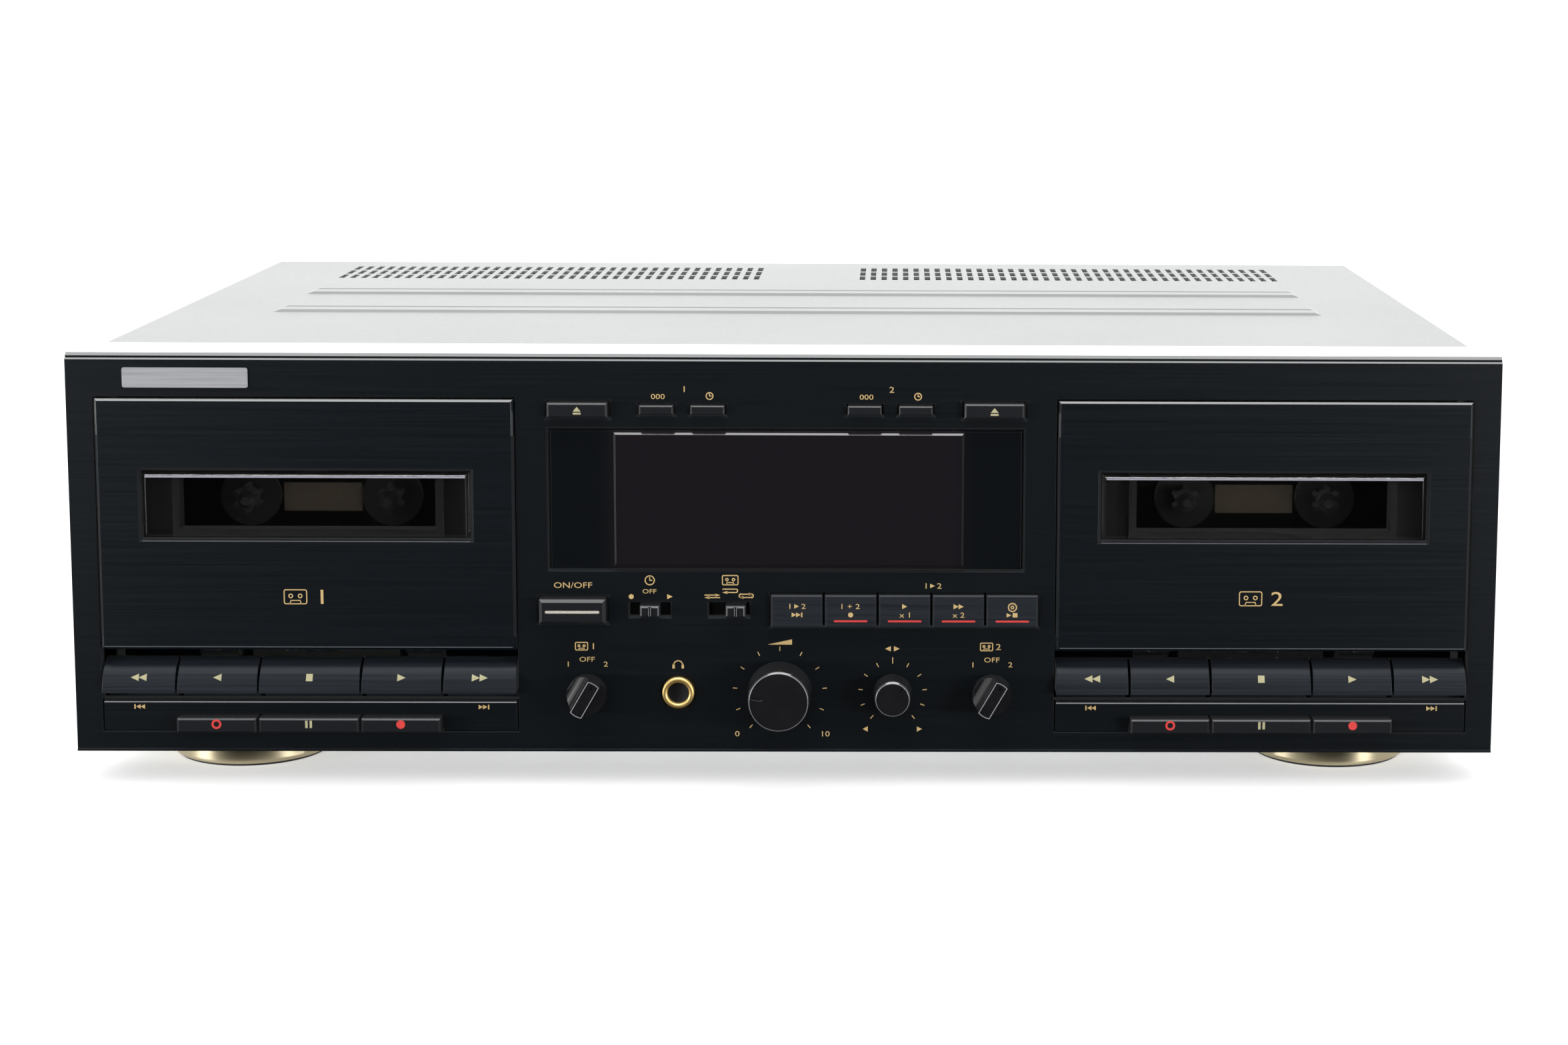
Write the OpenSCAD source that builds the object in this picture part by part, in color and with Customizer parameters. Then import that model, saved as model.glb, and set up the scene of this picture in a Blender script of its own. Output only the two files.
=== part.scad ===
// Double cassette deck of full hi-fi width: cabinet, two tape wells and every control as its own piece.
// Millimetres. X runs right, Y runs back, Z runs up. The feet stand on Z = 0, centred on X = 0 and Y = 0.

/* [Cabinet] */
// Height of the front panel
panel_h = 119; // [114:0.5:130]
// Thickness of the front panel's face
face_t = 4; // [3.6:0.1:5]
// Wall of the front panel's rim
rim_t = 2.5; // [2:0.1:3.5]
// Depth of the front panel, from its face to the back of its rim
bezel_d = 24.6; // [22:0.2:28]
// Front face to the rear edge of the cover
body_d = 280; // [255:1:320]
// Strip of panel outside each door
side_margin = 8.2; // [7:0.1:12]
// Height of the stepped edge along the panel's top
edge_c = 1.4; // [0.6:0.1:2]
// Step in from the panel's side to the cover's side
cover_inset = 4.1; // [3:0.1:6]
// Step down from the panel's top to the cover's top
cover_drop = 0.8; // [0.8:0.1:2]
// Thickness of the cover's sheet
cover_t = 1; // [0.8:0.1:1.5]
// Thickness of the chassis and rear panel sheet
sheet_t = 1.2; // [1:0.1:2]

/* [Vents and beads] */
// Vent slots in each row of a block
vent_n = 39; // [20:1:42]
// Distance from one slot to the next
vent_pitch = 4; // [3.2:0.1:4.4]
// Width of a slot
vent_w = 2; // [1:0.1:2.6]
// Length of a slot
vent_l = 12; // [8:0.5:13]
// Distance from one row of slots to the next
vent_row_pitch = 15; // [14:0.5:17]
// Rear edge of the cover to the middle of the last row
vent_back = 24; // [18:0.5:30]
// Middle of the cover to the first slot of a block
vent_x0 = 19.5; // [10:0.5:24]
// Length of a pressed bead
bead_l = 346; // [280:2:380]
// Width of a pressed bead
bead_w = 22; // [16:0.5:26]
// Height of a pressed bead
bead_h = 0.7; // [0.3:0.1:0.8]
// Front face to the middle of the front bead
bead_y = 122.5; // [90:0.5:125]
// Distance from one bead to the next
bead_pitch = 54.2; // [40:0.2:56]

/* [Feet] */
// Height of a foot
foot_h = 10; // [8:0.5:16]
// Diameter of a foot
foot_d = 49; // [36:1:56]
// Thickness of the rubber pad under a foot
pad_t = 0.7; // [0.5:0.1:2.5]
// Panel's side to the middle of a foot
foot_inset = 43; // [32:1:60]
// Front face to the middle of a front foot
foot_front = 42; // [32:1:60]
// Rear edge to the middle of a rear foot
foot_rear = 45; // [32:1:60]

/* [Cassette] */
// Width of a cassette
cassette_w = 100.4; // [98:0.2:101]
// Height of a cassette
cassette_h = 63.8; // [62:0.2:64]
// Thickness of a cassette at its tape edge
cassette_t = 12; // [11:0.1:13]
// Distance between the two hubs of a cassette
hub_pitch = 42.5; // [40:0.1:44]
// Tape edge of a cassette to the line of its hubs
hub_up = 34.2; // [32:0.1:36]
// Room round a cassette in its holder
cassette_gap = 0.4; // [0.2:0.1:0.6]

/* [Doors] */
// Width of a door
door_w = 122; // [118:0.5:132]
// Thickness of a door plate
door_t = 3; // [2.4:0.1:4]
// How far a door plate stands out of the panel's face
door_proud = 0.8; // [0.2:0.1:1.4]
// Chamfer round a door plate
door_c = 0.7; // [0.3:0.1:1]
// Gap round a door
door_gap = 0.5; // [0.3:0.05:0.8]
// Top of the panel to the top of a door
door_top = 13.3; // [10:0.1:15]
// Height of the gap between the keys and a door, which its lower edge swings into
door_drop = 3.3; // [3.1:0.1:5]
// Width of a window pane
win_w = 95.2; // [84:0.2:97]
// Height of a window pane
win_h = 19.2; // [17.6:0.2:24]
// Gap round a window pane
win_gap = 0.6; // [0.2:0.1:0.9]
// Width of the clear view behind a pane
view_w = 75; // [64:0.5:80]
// Height of the clear view behind a pane
view_h = 15.4; // [12:0.2:16]

/* [Transport keys] */
// Width of the middle key
key_mid_w = 29.4; // [26:0.2:32]
// Width of the keys next to the middle one
key_in_w = 23.4; // [21:0.2:25]
// Gap between two keys
key_gap = 0.7; // [0.4:0.1:1]
// Height of a key
key_h = 9.6; // [8.4:0.1:11]
// How far a key's lower edge stands out of the face
key_proud = 2.4; // [1.6:0.1:3.4]
// How much the radius of a key's rounded face is larger than the key's height
key_round = 0.6; // [0.4:0.1:4]
// How far a transport key can be pressed
key_travel = 1.3; // [0.8:0.1:1.6]
// Bottom of the panel to the strip below the keys
apron_z = 6.5; // [6:0.1:9]
// Height of the strip below the keys
apron_h = 9.3; // [8.6:0.1:12]
// Gap between that strip and the keys
apron_gap = 2.2; // [1.6:0.1:3]
// Height of the three lower keys
sub_h = 4.4; // [3.6:0.1:5]
// How far the lower keys stand out
sub_proud = 4; // [2.5:0.1:5]

/* [Middle controls] */
// Height of the row with the power and mode buttons, above the panel's bottom
row_z = 43; // [41:0.2:45]
// Width of the power button
power_w = 19.6; // [16:0.2:24]
// Height of the power button
power_h = 7.4; // [6:0.2:9]
// How far the power button stands out
power_proud = 3.6; // [3.2:0.1:5]
// Width of a slide switch's slot
slot_w = 12.2; // [11.6:0.2:14]
// Height of a slide switch's slot
slot_h = 4.6; // [4:0.1:6]
// Width of a slide switch's cap
cap_w = 5.9; // [4.6:0.1:6.4]
// Travel of a slide switch to each side
slide_travel = 2; // [1:0.1:2.4]
// Width of a mode button
mode_w = 15.3; // [13:0.1:17]
// Height of a mode button
mode_h = 9.8; // [8:0.1:11]
// Gap between two mode buttons
mode_gap = 0.6; // [0.4:0.1:1]
// Width of an eject button
eject_w = 17.6; // [14:0.2:20]
// Height of an eject button
eject_h = 4.4; // [3.6:0.1:5]
// Width of a counter button
small_w = 10; // [8:0.2:12]
// Height of a counter button
small_h = 2.8; // [2.4:0.1:3.6]
// Middle of the panel to the inner counter buttons
small_x = 23; // [18:0.5:26]
// Inner to outer counter button
small_pitch = 15; // [14:0.5:17]
// Top of the panel to the middle of the top row of buttons
top_row = 16.2; // [15.6:0.1:16.8]
// Gap round a button
button_gap = 0.4; // [0.25:0.05:0.6]

/* [Display] */
// Panel's bottom to the lower edge of the display window
disp_z = 55.4; // [54:0.2:60]
// Panel's top to the upper edge of the display window
disp_top = 22.2; // [21.6:0.1:26]
// Well's edge to the side of the display window
disp_side = 10.4; // [8:0.2:20]
// Thickness of the display window
disp_t = 2.2; // [1.6:0.1:2.4]
// Width of the thicker lens in the middle of the window
lens_w = 102.8; // [80:0.2:110]

/* [Knobs] */
// Height of the row of knobs above the panel's bottom
knob_z = 18; // [17:0.2:20]
// Radius of the record level knob at the panel
level_r = 9.7; // [8:0.1:11]
// How far the record level knob stands out
level_len = 11.7; // [11.2:0.1:18]
// Radius of the record balance knob at the panel
balance_r = 5.9; // [5:0.1:7]
// How far the record balance knob stands out
balance_len = 8.5; // [8:0.1:11]
// Radius of a noise reduction selector
nr_r = 5.8; // [5:0.1:7]
// How far a noise reduction selector stands out
nr_len = 9.5; // [8.5:0.1:11]
// Width of the bar on a noise reduction selector
nr_bar = 4; // [3:0.1:5]
// Radius of a knob's shaft
shaft_r = 3; // [2.5:0.1:3.2]
// Clearance between a shaft and its bush
shaft_gap = 0.05; // [0.03:0.01:0.08]

/* [Sockets] */
// Radius of the hole of the phones jack
jack_r = 3.2; // [3.1:0.05:3.4]
// Radius of the ring of the phones jack
jack_ring = 4.75; // [4.6:0.05:5.2]
// Depth of the hole of the phones jack
jack_depth = 30; // [26:0.5:34]
// Radius of a line socket's shell
rca_r = 4.15; // [4:0.05:4.3]
// Radius of a line socket's inner contact hole
rca_hole = 1.65; // [1.6:0.05:1.8]
// Length of a line socket's shell
rca_len = 8; // [7:0.1:10]

/* [Tape drives] */
// Room between a cassette holder and the mechanism frame
frame_gap = 3.5; // [3.2:0.1:5]
// Thickness of the mechanism frame's plate
frame_t = 1.6; // [1.2:0.1:2.4]
// How far the head base lifts
head_travel = 6; // [4:0.2:6]
// Radius of a flywheel
fly_r = 20; // [16:0.5:20.5]
// Radius of a capstan shaft
capstan_r = 1.25; // [1:0.05:1.5]
// Middle of a deck to its capstan
capstan_x = 31; // [30.6:0.1:33]
// Tape edge of a cassette to the capstan
capstan_up = 8.5; // [7.8:0.1:9]
// Radius of a motor
motor_r = 17; // [12:0.5:17.5]
// Length of a motor
motor_len = 26; // [18:0.5:32]
// Radius of a door pivot pin
pivot_r = 2; // [1.5:0.1:2.2]

/* [Hidden] */
$fn = 64;
eps = 0.05;

// Widths, from the row of controls outwards
mode_row = 5 * mode_w + 4 * mode_gap;
row_left = 7.1;
row_gap_a = 6.7;
row_gap_b = 11.1;
row_gap_c = 6.3;
row_right = 5.5;
slots_w = 2 * slot_w + row_gap_b;
centre_w = row_left + power_w + row_gap_a + slots_w + row_gap_c + mode_row + row_right;
well_x = (centre_w + door_w) / 2;
body_w = 2 * (side_margin + door_w) + centre_w;
cover_w = body_w - 2 * cover_inset;

// Heights above the panel's bottom
apron_top = apron_z + apron_h;
key_z = apron_top + apron_gap;
door_z = key_z + key_h + door_drop;
door_h = panel_h - door_top - door_z;
pocket_z = door_z + 7.6;
hub_z = pocket_z + hub_up;
win_z = hub_z + 1.55;
cover_top = panel_h - cover_drop;
top_z = panel_h - top_row;

// Depths behind the face
door_back = door_t - door_proud;
win_flange = 1;
wall_back = 9;
wall_t = 2.2;
pocket_y = wall_back + 0.3;
tray_back = pocket_y + cassette_t + 1 + 1.2;
pivot_y = door_back + 4.3;
pivot_z = door_z + 8;
frame_y = max(tray_back + frame_gap, bezel_d + 1);
frame_back = frame_y + frame_t;
rear_face = body_d - cover_t - 0.3;
socket_y = rear_face + eps;
socket_flange = 2;
socket_end = socket_y + socket_flange + eps + rca_len;
stem_y = 9.5;
board_y = 15;
key_board_y = 13;
board_t = 1.6;

// Places on the panel
power_x = -centre_w / 2 + row_left + power_w / 2;
timer_x = power_x + power_w / 2 + row_gap_a + slot_w / 2;
reverse_x = timer_x + slot_w + row_gap_b;
mode_x = reverse_x + slot_w / 2 + row_gap_c + mode_w / 2;
eject_x = centre_w / 2 - 18.8;
phones_x = -32.1;
level_x = -2;
level_turn = -82;
balance_x = 31.4;
balance_turn = 43;
nr_x = [-58.9, 60.9];
disp_w = centre_w - 2 * disp_side;
disp_h = panel_h - disp_top - disp_z;
disp_gap = 0.3;
disp_mid = disp_z + disp_h / 2;

// Key widths and places, from the middle of a deck
key_side = 0.1;
key_out_w = (door_w - 2 * key_side - key_mid_w - 2 * key_in_w - 4 * key_gap) / 2;
key_in_x = key_mid_w / 2 + key_gap + key_in_w / 2;
key_out_x = key_in_x + key_in_w / 2 + key_gap + key_out_w / 2;
KEY_X = [-key_out_x, -key_in_x, 0, key_in_x, key_out_x];
KEY_W = [key_out_w, key_in_w, key_mid_w, key_in_w, key_out_w];

// Inside of the cabinet
inner_x = cover_w / 2 - cover_t - 0.4;
flange_x = inner_x - sheet_t;
frame_half = min(door_w / 2 + 0.5, flange_x - 0.5 - well_x);
frame_top = panel_h - rim_t - 4;
holder_half = cassette_w / 2 + cassette_gap + 2.3;
holder_top = min(pocket_z + 61.5, door_z + door_h - 5.7);
spindle_tip = frame_y - 10.6;
capstan_z = pocket_z + capstan_up;
motor_x = -36;
fly_gap = 3;
fly_t = 6.6;
fly_room = 1;
bracket_y = frame_back + fly_gap + fly_t + fly_room;
frame_foot = 11.5;
RCA_AT = [-130, 60];
INLET_AT = [150, 32];
TRAFO_AT = [120, 195];
MAIN_AT = [-40, 175];
MAIN_SIZE = [210, 116];

// Lugs of the front panel that lie on the chassis pan
LUG_X = [-65, -25, 25, 65];
lug_w = 18;
lug_in = 6;
lug_len = 14;
lug_y = bezel_d + lug_len / 2;

// Inside of the front panel's rim, and ribs that close the step between it and the cover
rim_x = body_w / 2 - rim_t;
rib_in = 2;
rib_t = 1.8;

// Bodies of the rotary controls and of the phones jack, and screws of the feet
level_pot = 16;
balance_pot = 12.5;
nr_pot = 13.5;
jack_half = 6;
jack_room = 1;
foot_screw = 9;

// Key board below each door
key_board_half = door_w / 2 - 5;
key_board_top = key_z + key_h - 2.2;

// Line sockets: distances between them, plate behind them and body inside the cabinet
RCA_PITCH = [18, 16];
RCA_PLATE = RCA_PITCH / 2 + [12, 8];
RCA_BODY = RCA_PLATE - [4, 4];

// Transformer: mounting foot, core and coil
TRAFO_FOOT = [86, 22, 2];
TRAFO_CORE = [60, 28, 50];
TRAFO_COIL = [36, 48, 30];
trafo_coil_z = 10;

// Front of the foremost knob and end of the sockets set the middle of the depth
front_y = -max(level_len, max(balance_len, nr_len));
face_y = -(front_y + socket_end) / 2;

// Moves a piece from the panel's own frame, face at Y = 0 and lower edge at Z = 0, to its place
module placed() {
    translate([0, face_y, foot_h])
        children();
}

// Box between two corners
module box(a, b) {
    translate(a)
        cube(b - a);
}

// Box on one side of the middle, k = -1 or 1, between two distances from it
module side_box(k, x0, x1, y, z) {
    box([min(k * x0, k * x1), y[0], z[0]], [max(k * x0, k * x1), y[1], z[1]]);
}

// Round bar along Y
module ycyl(r, y0, y1) {
    translate([0, y0, 0])
        rotate([-90, 0, 0])
            cylinder(h = y1 - y0, r = r);
}

// Round bar along X
module xcyl(r, x0, x1) {
    translate([x0, 0, 0])
        rotate([0, 90, 0])
            cylinder(h = x1 - x0, r = r);
}

// Outline in Y and Z, run along X over a width
module along_x(w) {
    translate([-w / 2, 0, 0])
        rotate([90, 0, 90])
            linear_extrude(w)
                children();
}

// Block with its front edges chamfered, centred on X and Z
module front_block(w, h, y0, y1, c) {
    intersection() {
        along_x(w)
            polygon([
                [y0, c - h / 2], [y0, h / 2 - c], [y0 + c, h / 2],
                [y1, h / 2], [y1, -h / 2], [y0 + c, -h / 2]
            ]);
        translate([0, 0, -h / 2])
            linear_extrude(h)
                polygon([
                    [c - w / 2, y0], [w / 2 - c, y0], [w / 2, y0 + c],
                    [w / 2, y1], [-w / 2, y1], [-w / 2, y0 + c]
                ]);
    }
}

// Tool for a square hole from the face back, its mouth flared by c
module opening(w, h, y0, depth, c) {
    translate([-w / 2, y0 - 2, -h / 2])
        cube([w, depth + 2, h]);
    intersection() {
        along_x(w + 2 * c + 4)
            polygon([
                [y0 - 2, h / 2 + c + 2], [y0 + c, h / 2],
                [y0 + c, -h / 2], [y0 - 2, -h / 2 - c - 2]
            ]);
        translate([0, 0, -h / 2 - c - 2])
            linear_extrude(h + 2 * c + 4)
                polygon([
                    [w / 2 + c + 2, y0 - 2], [w / 2, y0 + c],
                    [-w / 2, y0 + c], [-w / 2 - c - 2, y0 - 2]
                ]);
    }
}

// Button with a chamfered cap, lips behind the face above and below, and a stem to its switch
module push_button(w, h, proud, c) {
    lip = button_gap + 0.8;
    front_block(w, h, -proud, face_t + 0.5, c);
    box([-w / 2 + 0.5, face_t + 0.35, -h / 2 - lip], [w / 2 - 0.5, face_t + 1.4, h / 2 + lip]);
    box([-1.6, face_t + 1.2, -1.2], [1.6, stem_y, 1.2]);
}

// Places of the small buttons in the top row and of the five mode buttons
function small_at(s, i) = s * (small_x + i * small_pitch);
function mode_at(i) = mode_x + i * (mode_w + mode_gap);

// Holes of the panel's middle section
module middle_holes() {
    g = 2 * button_gap;
    for (s = [-1, 1]) {
        translate([s * eject_x, 0, top_z])
            opening(eject_w + g, eject_h + g, 0, face_t + 1, 0.6);
        for (i = [0, 1])
            translate([small_at(s, i), 0, top_z])
                opening(small_w + g, small_h + g, 0, face_t + 1, 0.4);
    }
    translate([power_x, 0, row_z])
        opening(power_w + g, power_h + g, 0, face_t + 1, 0.5);
    for (x = [timer_x, reverse_x])
        translate([x, 0, row_z])
            opening(slot_w, slot_h, 0, face_t + 1, 0.3);
    translate([mode_at(2), 0, row_z])
        opening(mode_row + g, mode_h + g, 0, face_t + 1, 0.3);
    translate([0, 0, disp_mid]) {
        opening(disp_w + 2 * disp_gap, disp_h + 2 * disp_gap, 0, disp_t + 0.2, 0.6);
        box([8 - disp_w / 2, 0, 4 - disp_h / 2], [disp_w / 2 - 8, face_t + 1, disp_h / 2 - 4]);
    }
    for (x = [nr_x[0], nr_x[1], level_x, balance_x])
        translate([x, 0, knob_z])
            ycyl(shaft_r + 0.4, -1, face_t + 1);
    translate([phones_x, 0, knob_z]) {
        ycyl(jack_ring - 0.75, -1, face_t + 1);
        ycyl(jack_ring + 0.65, -1, 0.6);
    }
}

// Holes of one tape well: door and keys, lower keys, and the groove round the strip below the keys
module well_holes() {
    half = door_w / 2 + door_gap;
    sub_half = key_in_x + key_in_w / 2 + button_gap;
    box([-half, -1, apron_top], [half, face_t + 1, door_z + door_h + door_gap]);
    box([-sub_half, -1, apron_z - button_gap], [sub_half, face_t + 1, apron_z + sub_h + button_gap]);
    for (s = [-1, 1])
        translate([s * (half - 0.3), 0, 0])
            box([-0.3, -1, apron_z - 0.6], [0.3, 0.8, apron_top + 1]);
    box([-half, -1, apron_z - 0.6], [half, 0.8, apron_z]);
    along_x(2 * half)
        polygon([[-1, apron_top + 1], [-1, apron_top - 1.7], [0.7, apron_top], [0.7, apron_top + 1]]);
}

module front_panel() {
    color("#17181c")
        difference() {
            union() {
                difference() {
                    along_x(body_w)
                        polygon([
                            [0, 0.9], [0, panel_h - edge_c - 0.5], [0.5, panel_h - edge_c],
                            [0.8, panel_h - edge_c], [0.8, panel_h - edge_c * 0.6],
                            [0.8 + edge_c * 0.6, panel_h], [bezel_d, panel_h], [bezel_d, 0],
                            [0, 0], [-0.3, 0.2], [-0.3, 0.6]
                        ]);
                    box([-rim_x, face_t, rim_t], [rim_x, bezel_d + 1, panel_h - rim_t]);
                }
                for (s = [-1, 1])
                    side_box(s, cover_w / 2 - rib_in, rim_x + rim_t / 2, [bezel_d - rib_t, bezel_d],
                        [rim_t / 2, panel_h - rim_t / 2]);
                // Posts for the control board and for the two key boards
                for (x = [-1, 1] * (centre_w / 2 - 5.2), z = [24, panel_h - 20])
                    translate([x, 0, z])
                        ycyl(2, face_t - 1, board_y - eps);
                for (s = [-1, 1], x = [-1, 1] * (key_board_half - 4))
                    translate([s * well_x + x, 0, apron_z + 3])
                        ycyl(2, face_t - 1, key_board_y - eps);
                for (x = LUG_X)
                    translate([x, bezel_d, 0])
                        box([-lug_w / 2, -lug_in, sheet_t], [lug_w / 2, lug_len, rim_t + 1.4]);
            }
            middle_holes();
            for (s = [-1, 1])
                translate([s * well_x, 0, 0])
                    well_holes();
            for (x = LUG_X)
                translate([x, lug_y, 0])
                    cylinder(h = 10, r = 1.6);
        }
}

// Vent slots of the cover, seen from above
module vent_slots() {
    for (s = [-1, 1], i = [0 : vent_n - 1], j = [0 : 2])
        translate([s * (vent_x0 + i * vent_pitch), body_d - vent_back - j * vent_row_pitch])
            square([vent_w, vent_l], center = true);
}

// Pressed double bead: two ribs with sloped flanks and a shallow groove between them
module bead() {
    w = bead_w / 2;
    intersection() {
        along_x(bead_l)
            polygon([
                [-w, 0], [2 - w, bead_h], [-1.6, bead_h], [0, bead_h * 0.3],
                [1.6, bead_h], [w - 2, bead_h], [w, 0], [w, -0.3], [-w, -0.3]
            ]);
        translate([0, w, 0])
            rotate([90, 0, 0])
                linear_extrude(bead_w)
                    polygon([
                        [-bead_l / 2, -0.3], [-bead_l / 2, 0], [2 - bead_l / 2, bead_h],
                        [bead_l / 2 - 2, bead_h], [bead_l / 2, 0], [bead_l / 2, -0.3]
                    ]);
    }
}

// Places of the screws through the cover's sides and through its rear lip
SIDE_Y = [62, body_d - 42];
side_z = 9;
LIP_X = [-150, 0, 150];
lip_h = 9;

module top_cover() {
    x = cover_w / 2;
    lip_x = x - cover_t + 0.1;
    y0 = bezel_d + 0.3;
    color("#b9bab8")
        difference() {
            union() {
                difference() {
                    box([-x, y0, 0.2], [x, body_d, cover_top]);
                    box([cover_t - x, y0 - 1, -1], [x - cover_t, body_d + 1, cover_top - cover_t]);
                }
                box([-lip_x, body_d - cover_t, cover_top - lip_h], [lip_x, body_d, cover_top]);
                for (i = [0, 1])
                    translate([0, bead_y + i * bead_pitch, cover_top])
                        bead();
            }
            translate([0, 0, cover_top - cover_t - 1])
                linear_extrude(cover_t + 3)
                    vent_slots();
            for (y = SIDE_Y)
                translate([0, y, side_z])
                    xcyl(1.8, -x - 1, x + 1);
            for (lx = LIP_X)
                translate([lx, 0, cover_top - lip_h / 2 - 1])
                    ycyl(1.8, body_d - cover_t - 1, body_d + 1);
        }
}

// Places of the feet
FOOT_AT = [for (s = [-1, 1], y = [foot_front, body_d - foot_rear]) [s * (body_w / 2 - foot_inset), y, 0]];
// Places of the transformer's two screws and of the main board's four posts
TRAFO_SCREW_X = [-36, 36];
POST_IN = MAIN_SIZE / 2 - [6, 6];
MAIN_POST = [for (i = [-1, 1], j = [-1, 1]) MAIN_AT + [i * POST_IN[0], j * POST_IN[1]]];
post_h = 8;

module chassis() {
    y0 = bezel_d + 0.3;
    y1 = rear_face - sheet_t;
    color("#9a9c9a")
        difference() {
            union() {
                box([-inner_x, y0, 0], [inner_x, y1, sheet_t]);
                for (s = [-1, 1])
                    side_box(s, flange_x, inner_x, [y0, y1], [0, 16]);
                box([-inner_x, y1 - sheet_t, 0], [inner_x, y1, 14]);
                for (p = MAIN_POST)
                    translate([p[0], p[1], 0])
                        cylinder(h = sheet_t + post_h, r = 3);
            }
            for (p = FOOT_AT)
                translate(p - [0, 0, 1])
                    cylinder(h = 10, r = 1.8);
            for (x = LUG_X)
                translate([x, lug_y, -1])
                    cylinder(h = 10, r = 1.8);
            for (s = [-1, 1], x = FRAME_SCREW_X)
                translate([s * (well_x + x), frame_y + 7, -1])
                    cylinder(h = 10, r = 1.8);
            for (x = TRAFO_SCREW_X)
                translate([TRAFO_AT[0] + x, TRAFO_AT[1], -1])
                    cylinder(h = 10, r = 1.6);
            for (y = SIDE_Y)
                translate([0, y, side_z])
                    xcyl(1.6, -inner_x - 1, inner_x + 1);
        }
}

module rear_panel() {
    color("#2a2b2d")
        difference() {
            box([-inner_x, rear_face - sheet_t, 0], [inner_x, rear_face, cover_top - cover_t - 0.2]);
            translate([RCA_AT[0], rear_face, RCA_AT[1]])
                box([-RCA_BODY[0] - 0.3, -5, -RCA_BODY[1] - 0.3], [RCA_BODY[0] + 0.3, 5, RCA_BODY[1] + 0.3]);
            translate([INLET_AT[0], rear_face, INLET_AT[1]])
                box([-12.3, -5, -8.3], [12.3, 5, 8.3]);
            for (lx = LIP_X)
                translate([lx, 0, cover_top - lip_h / 2 - 1])
                    ycyl(1.6, rear_face - 5, rear_face + 1);
        }
}

module display_window() {
    lens_h = disp_h - 1.6;
    color("#0c0d10")
        translate([0, 0, disp_mid]) {
            front_block(disp_w, disp_h, 0.2, disp_t + 0.2, 0.4);
            translate([0.8, 0, 0])
                front_block(lens_w, lens_h, -0.5, 0.5, 0.6);
        }
}

// Rotary control on the board: square body, round bush and the hole for its shaft
module rotary_body(size) {
    difference() {
        union() {
            box([-size / 2, 7, -size / 2], [size / 2, board_y - eps, size / 2]);
            ycyl(shaft_r + 1.2, face_t + 0.3, 7.5);
        }
        ycyl(shaft_r + shaft_gap, 0, 13.2);
    }
}

// Small switch on a board in front of a stem
module tact(travel, back) {
    box([-3, stem_y + travel + 0.3, -2.4], [3, back - eps, 2.4]);
}

module circuit_boards() {
    half = centre_w / 2 - 2.6;
    color("#2f5a3a") {
        // Control board behind the middle section, with a hole for the phones jack
        difference() {
            box([-half, board_y, 8], [half, board_y + board_t, panel_h - 8]);
            hole = jack_half + jack_room;
            translate([phones_x, 0, knob_z])
                box([-hole, 0, -hole], [hole, 2 * board_y, hole]);
        }
        // Key board below each door
        for (s = [-1, 1])
            translate([s * well_x, key_board_y, 0])
                box([-key_board_half, 0, 5], [key_board_half, board_t, key_board_top]);
        // Main board on the chassis posts
        translate([MAIN_AT[0], MAIN_AT[1], sheet_t + post_h])
            box([-MAIN_SIZE[0] / 2, -MAIN_SIZE[1] / 2, 0], [MAIN_SIZE[0] / 2, MAIN_SIZE[1] / 2, board_t]);
    }
    color("#26272a") {
        translate([level_x, 0, knob_z])
            rotary_body(level_pot);
        translate([balance_x, 0, knob_z])
            rotary_body(balance_pot);
        for (x = nr_x)
            translate([x, 0, knob_z])
                rotary_body(nr_pot);
        for (x = [timer_x, reverse_x])
            translate([x, 0, row_z])
                box([-6.5, 8, -3.5], [6.5, board_y - eps, 3.5]);
        translate([power_x, 0, row_z])
            tact(3, board_y);
        for (i = [0 : 4])
            translate([mode_at(i), 0, row_z])
                tact(1.3, board_y);
        for (s = [-1, 1]) {
            translate([s * eject_x, 0, top_z])
                tact(2, board_y);
            for (i = [0, 1])
                translate([small_at(s, i), 0, top_z])
                    tact(1, board_y);
            for (i = [0 : 4])
                translate([s * well_x + KEY_X[i], 0, key_z + 3])
                    tact(key_travel, key_board_y);
            for (i = [1 : 3])
                translate([s * well_x + KEY_X[i], 0, apron_z + sub_h / 2])
                    tact(1, key_board_y);
        }
        // Large parts on the main board
        for (p = [[-90, -30], [-60, 25], [-10, -20], [40, 30], [70, -25]])
            translate([MAIN_AT[0] + p[0], MAIN_AT[1] + p[1], sheet_t + post_h + board_t + eps])
                cylinder(h = 18, r = 6);
        for (p = [[-40, -10], [20, 0], [75, 20]])
            translate([MAIN_AT[0] + p[0], MAIN_AT[1] + p[1], sheet_t + post_h + board_t + eps])
                box([-14, -5, 0], [14, 5, 4]);
    }
    // Display tube between the window and the control board
    color("#31403f")
        translate([0.8, 0, disp_mid]) {
            tube = [lens_w / 2 - 4, disp_h / 2 - 5];
            box([-tube[0], face_t + 1, -tube[1]], [tube[0], board_y - eps, tube[1]]);
        }
}

// Block of a given size, centred on X and Y and standing at a height
module block(size, z) {
    translate([-size[0] / 2, -size[1] / 2, z])
        cube(size);
}

module power_transformer() {
    color("#5c5f63")
        translate([TRAFO_AT[0], TRAFO_AT[1], sheet_t])
            difference() {
                union() {
                    block(TRAFO_FOOT, 0);
                    block(TRAFO_CORE, 0);
                    block(TRAFO_COIL, trafo_coil_z);
                }
                for (x = TRAFO_SCREW_X)
                    translate([x, 0, -1])
                        cylinder(h = 5, r = 1.8);
            }
}

// Line socket: shell with its inner contact hole
module line_socket() {
    difference() {
        ycyl(rca_r, 0, rca_len);
        ycyl(rca_hole, 1, rca_len + 1);
    }
}

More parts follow.
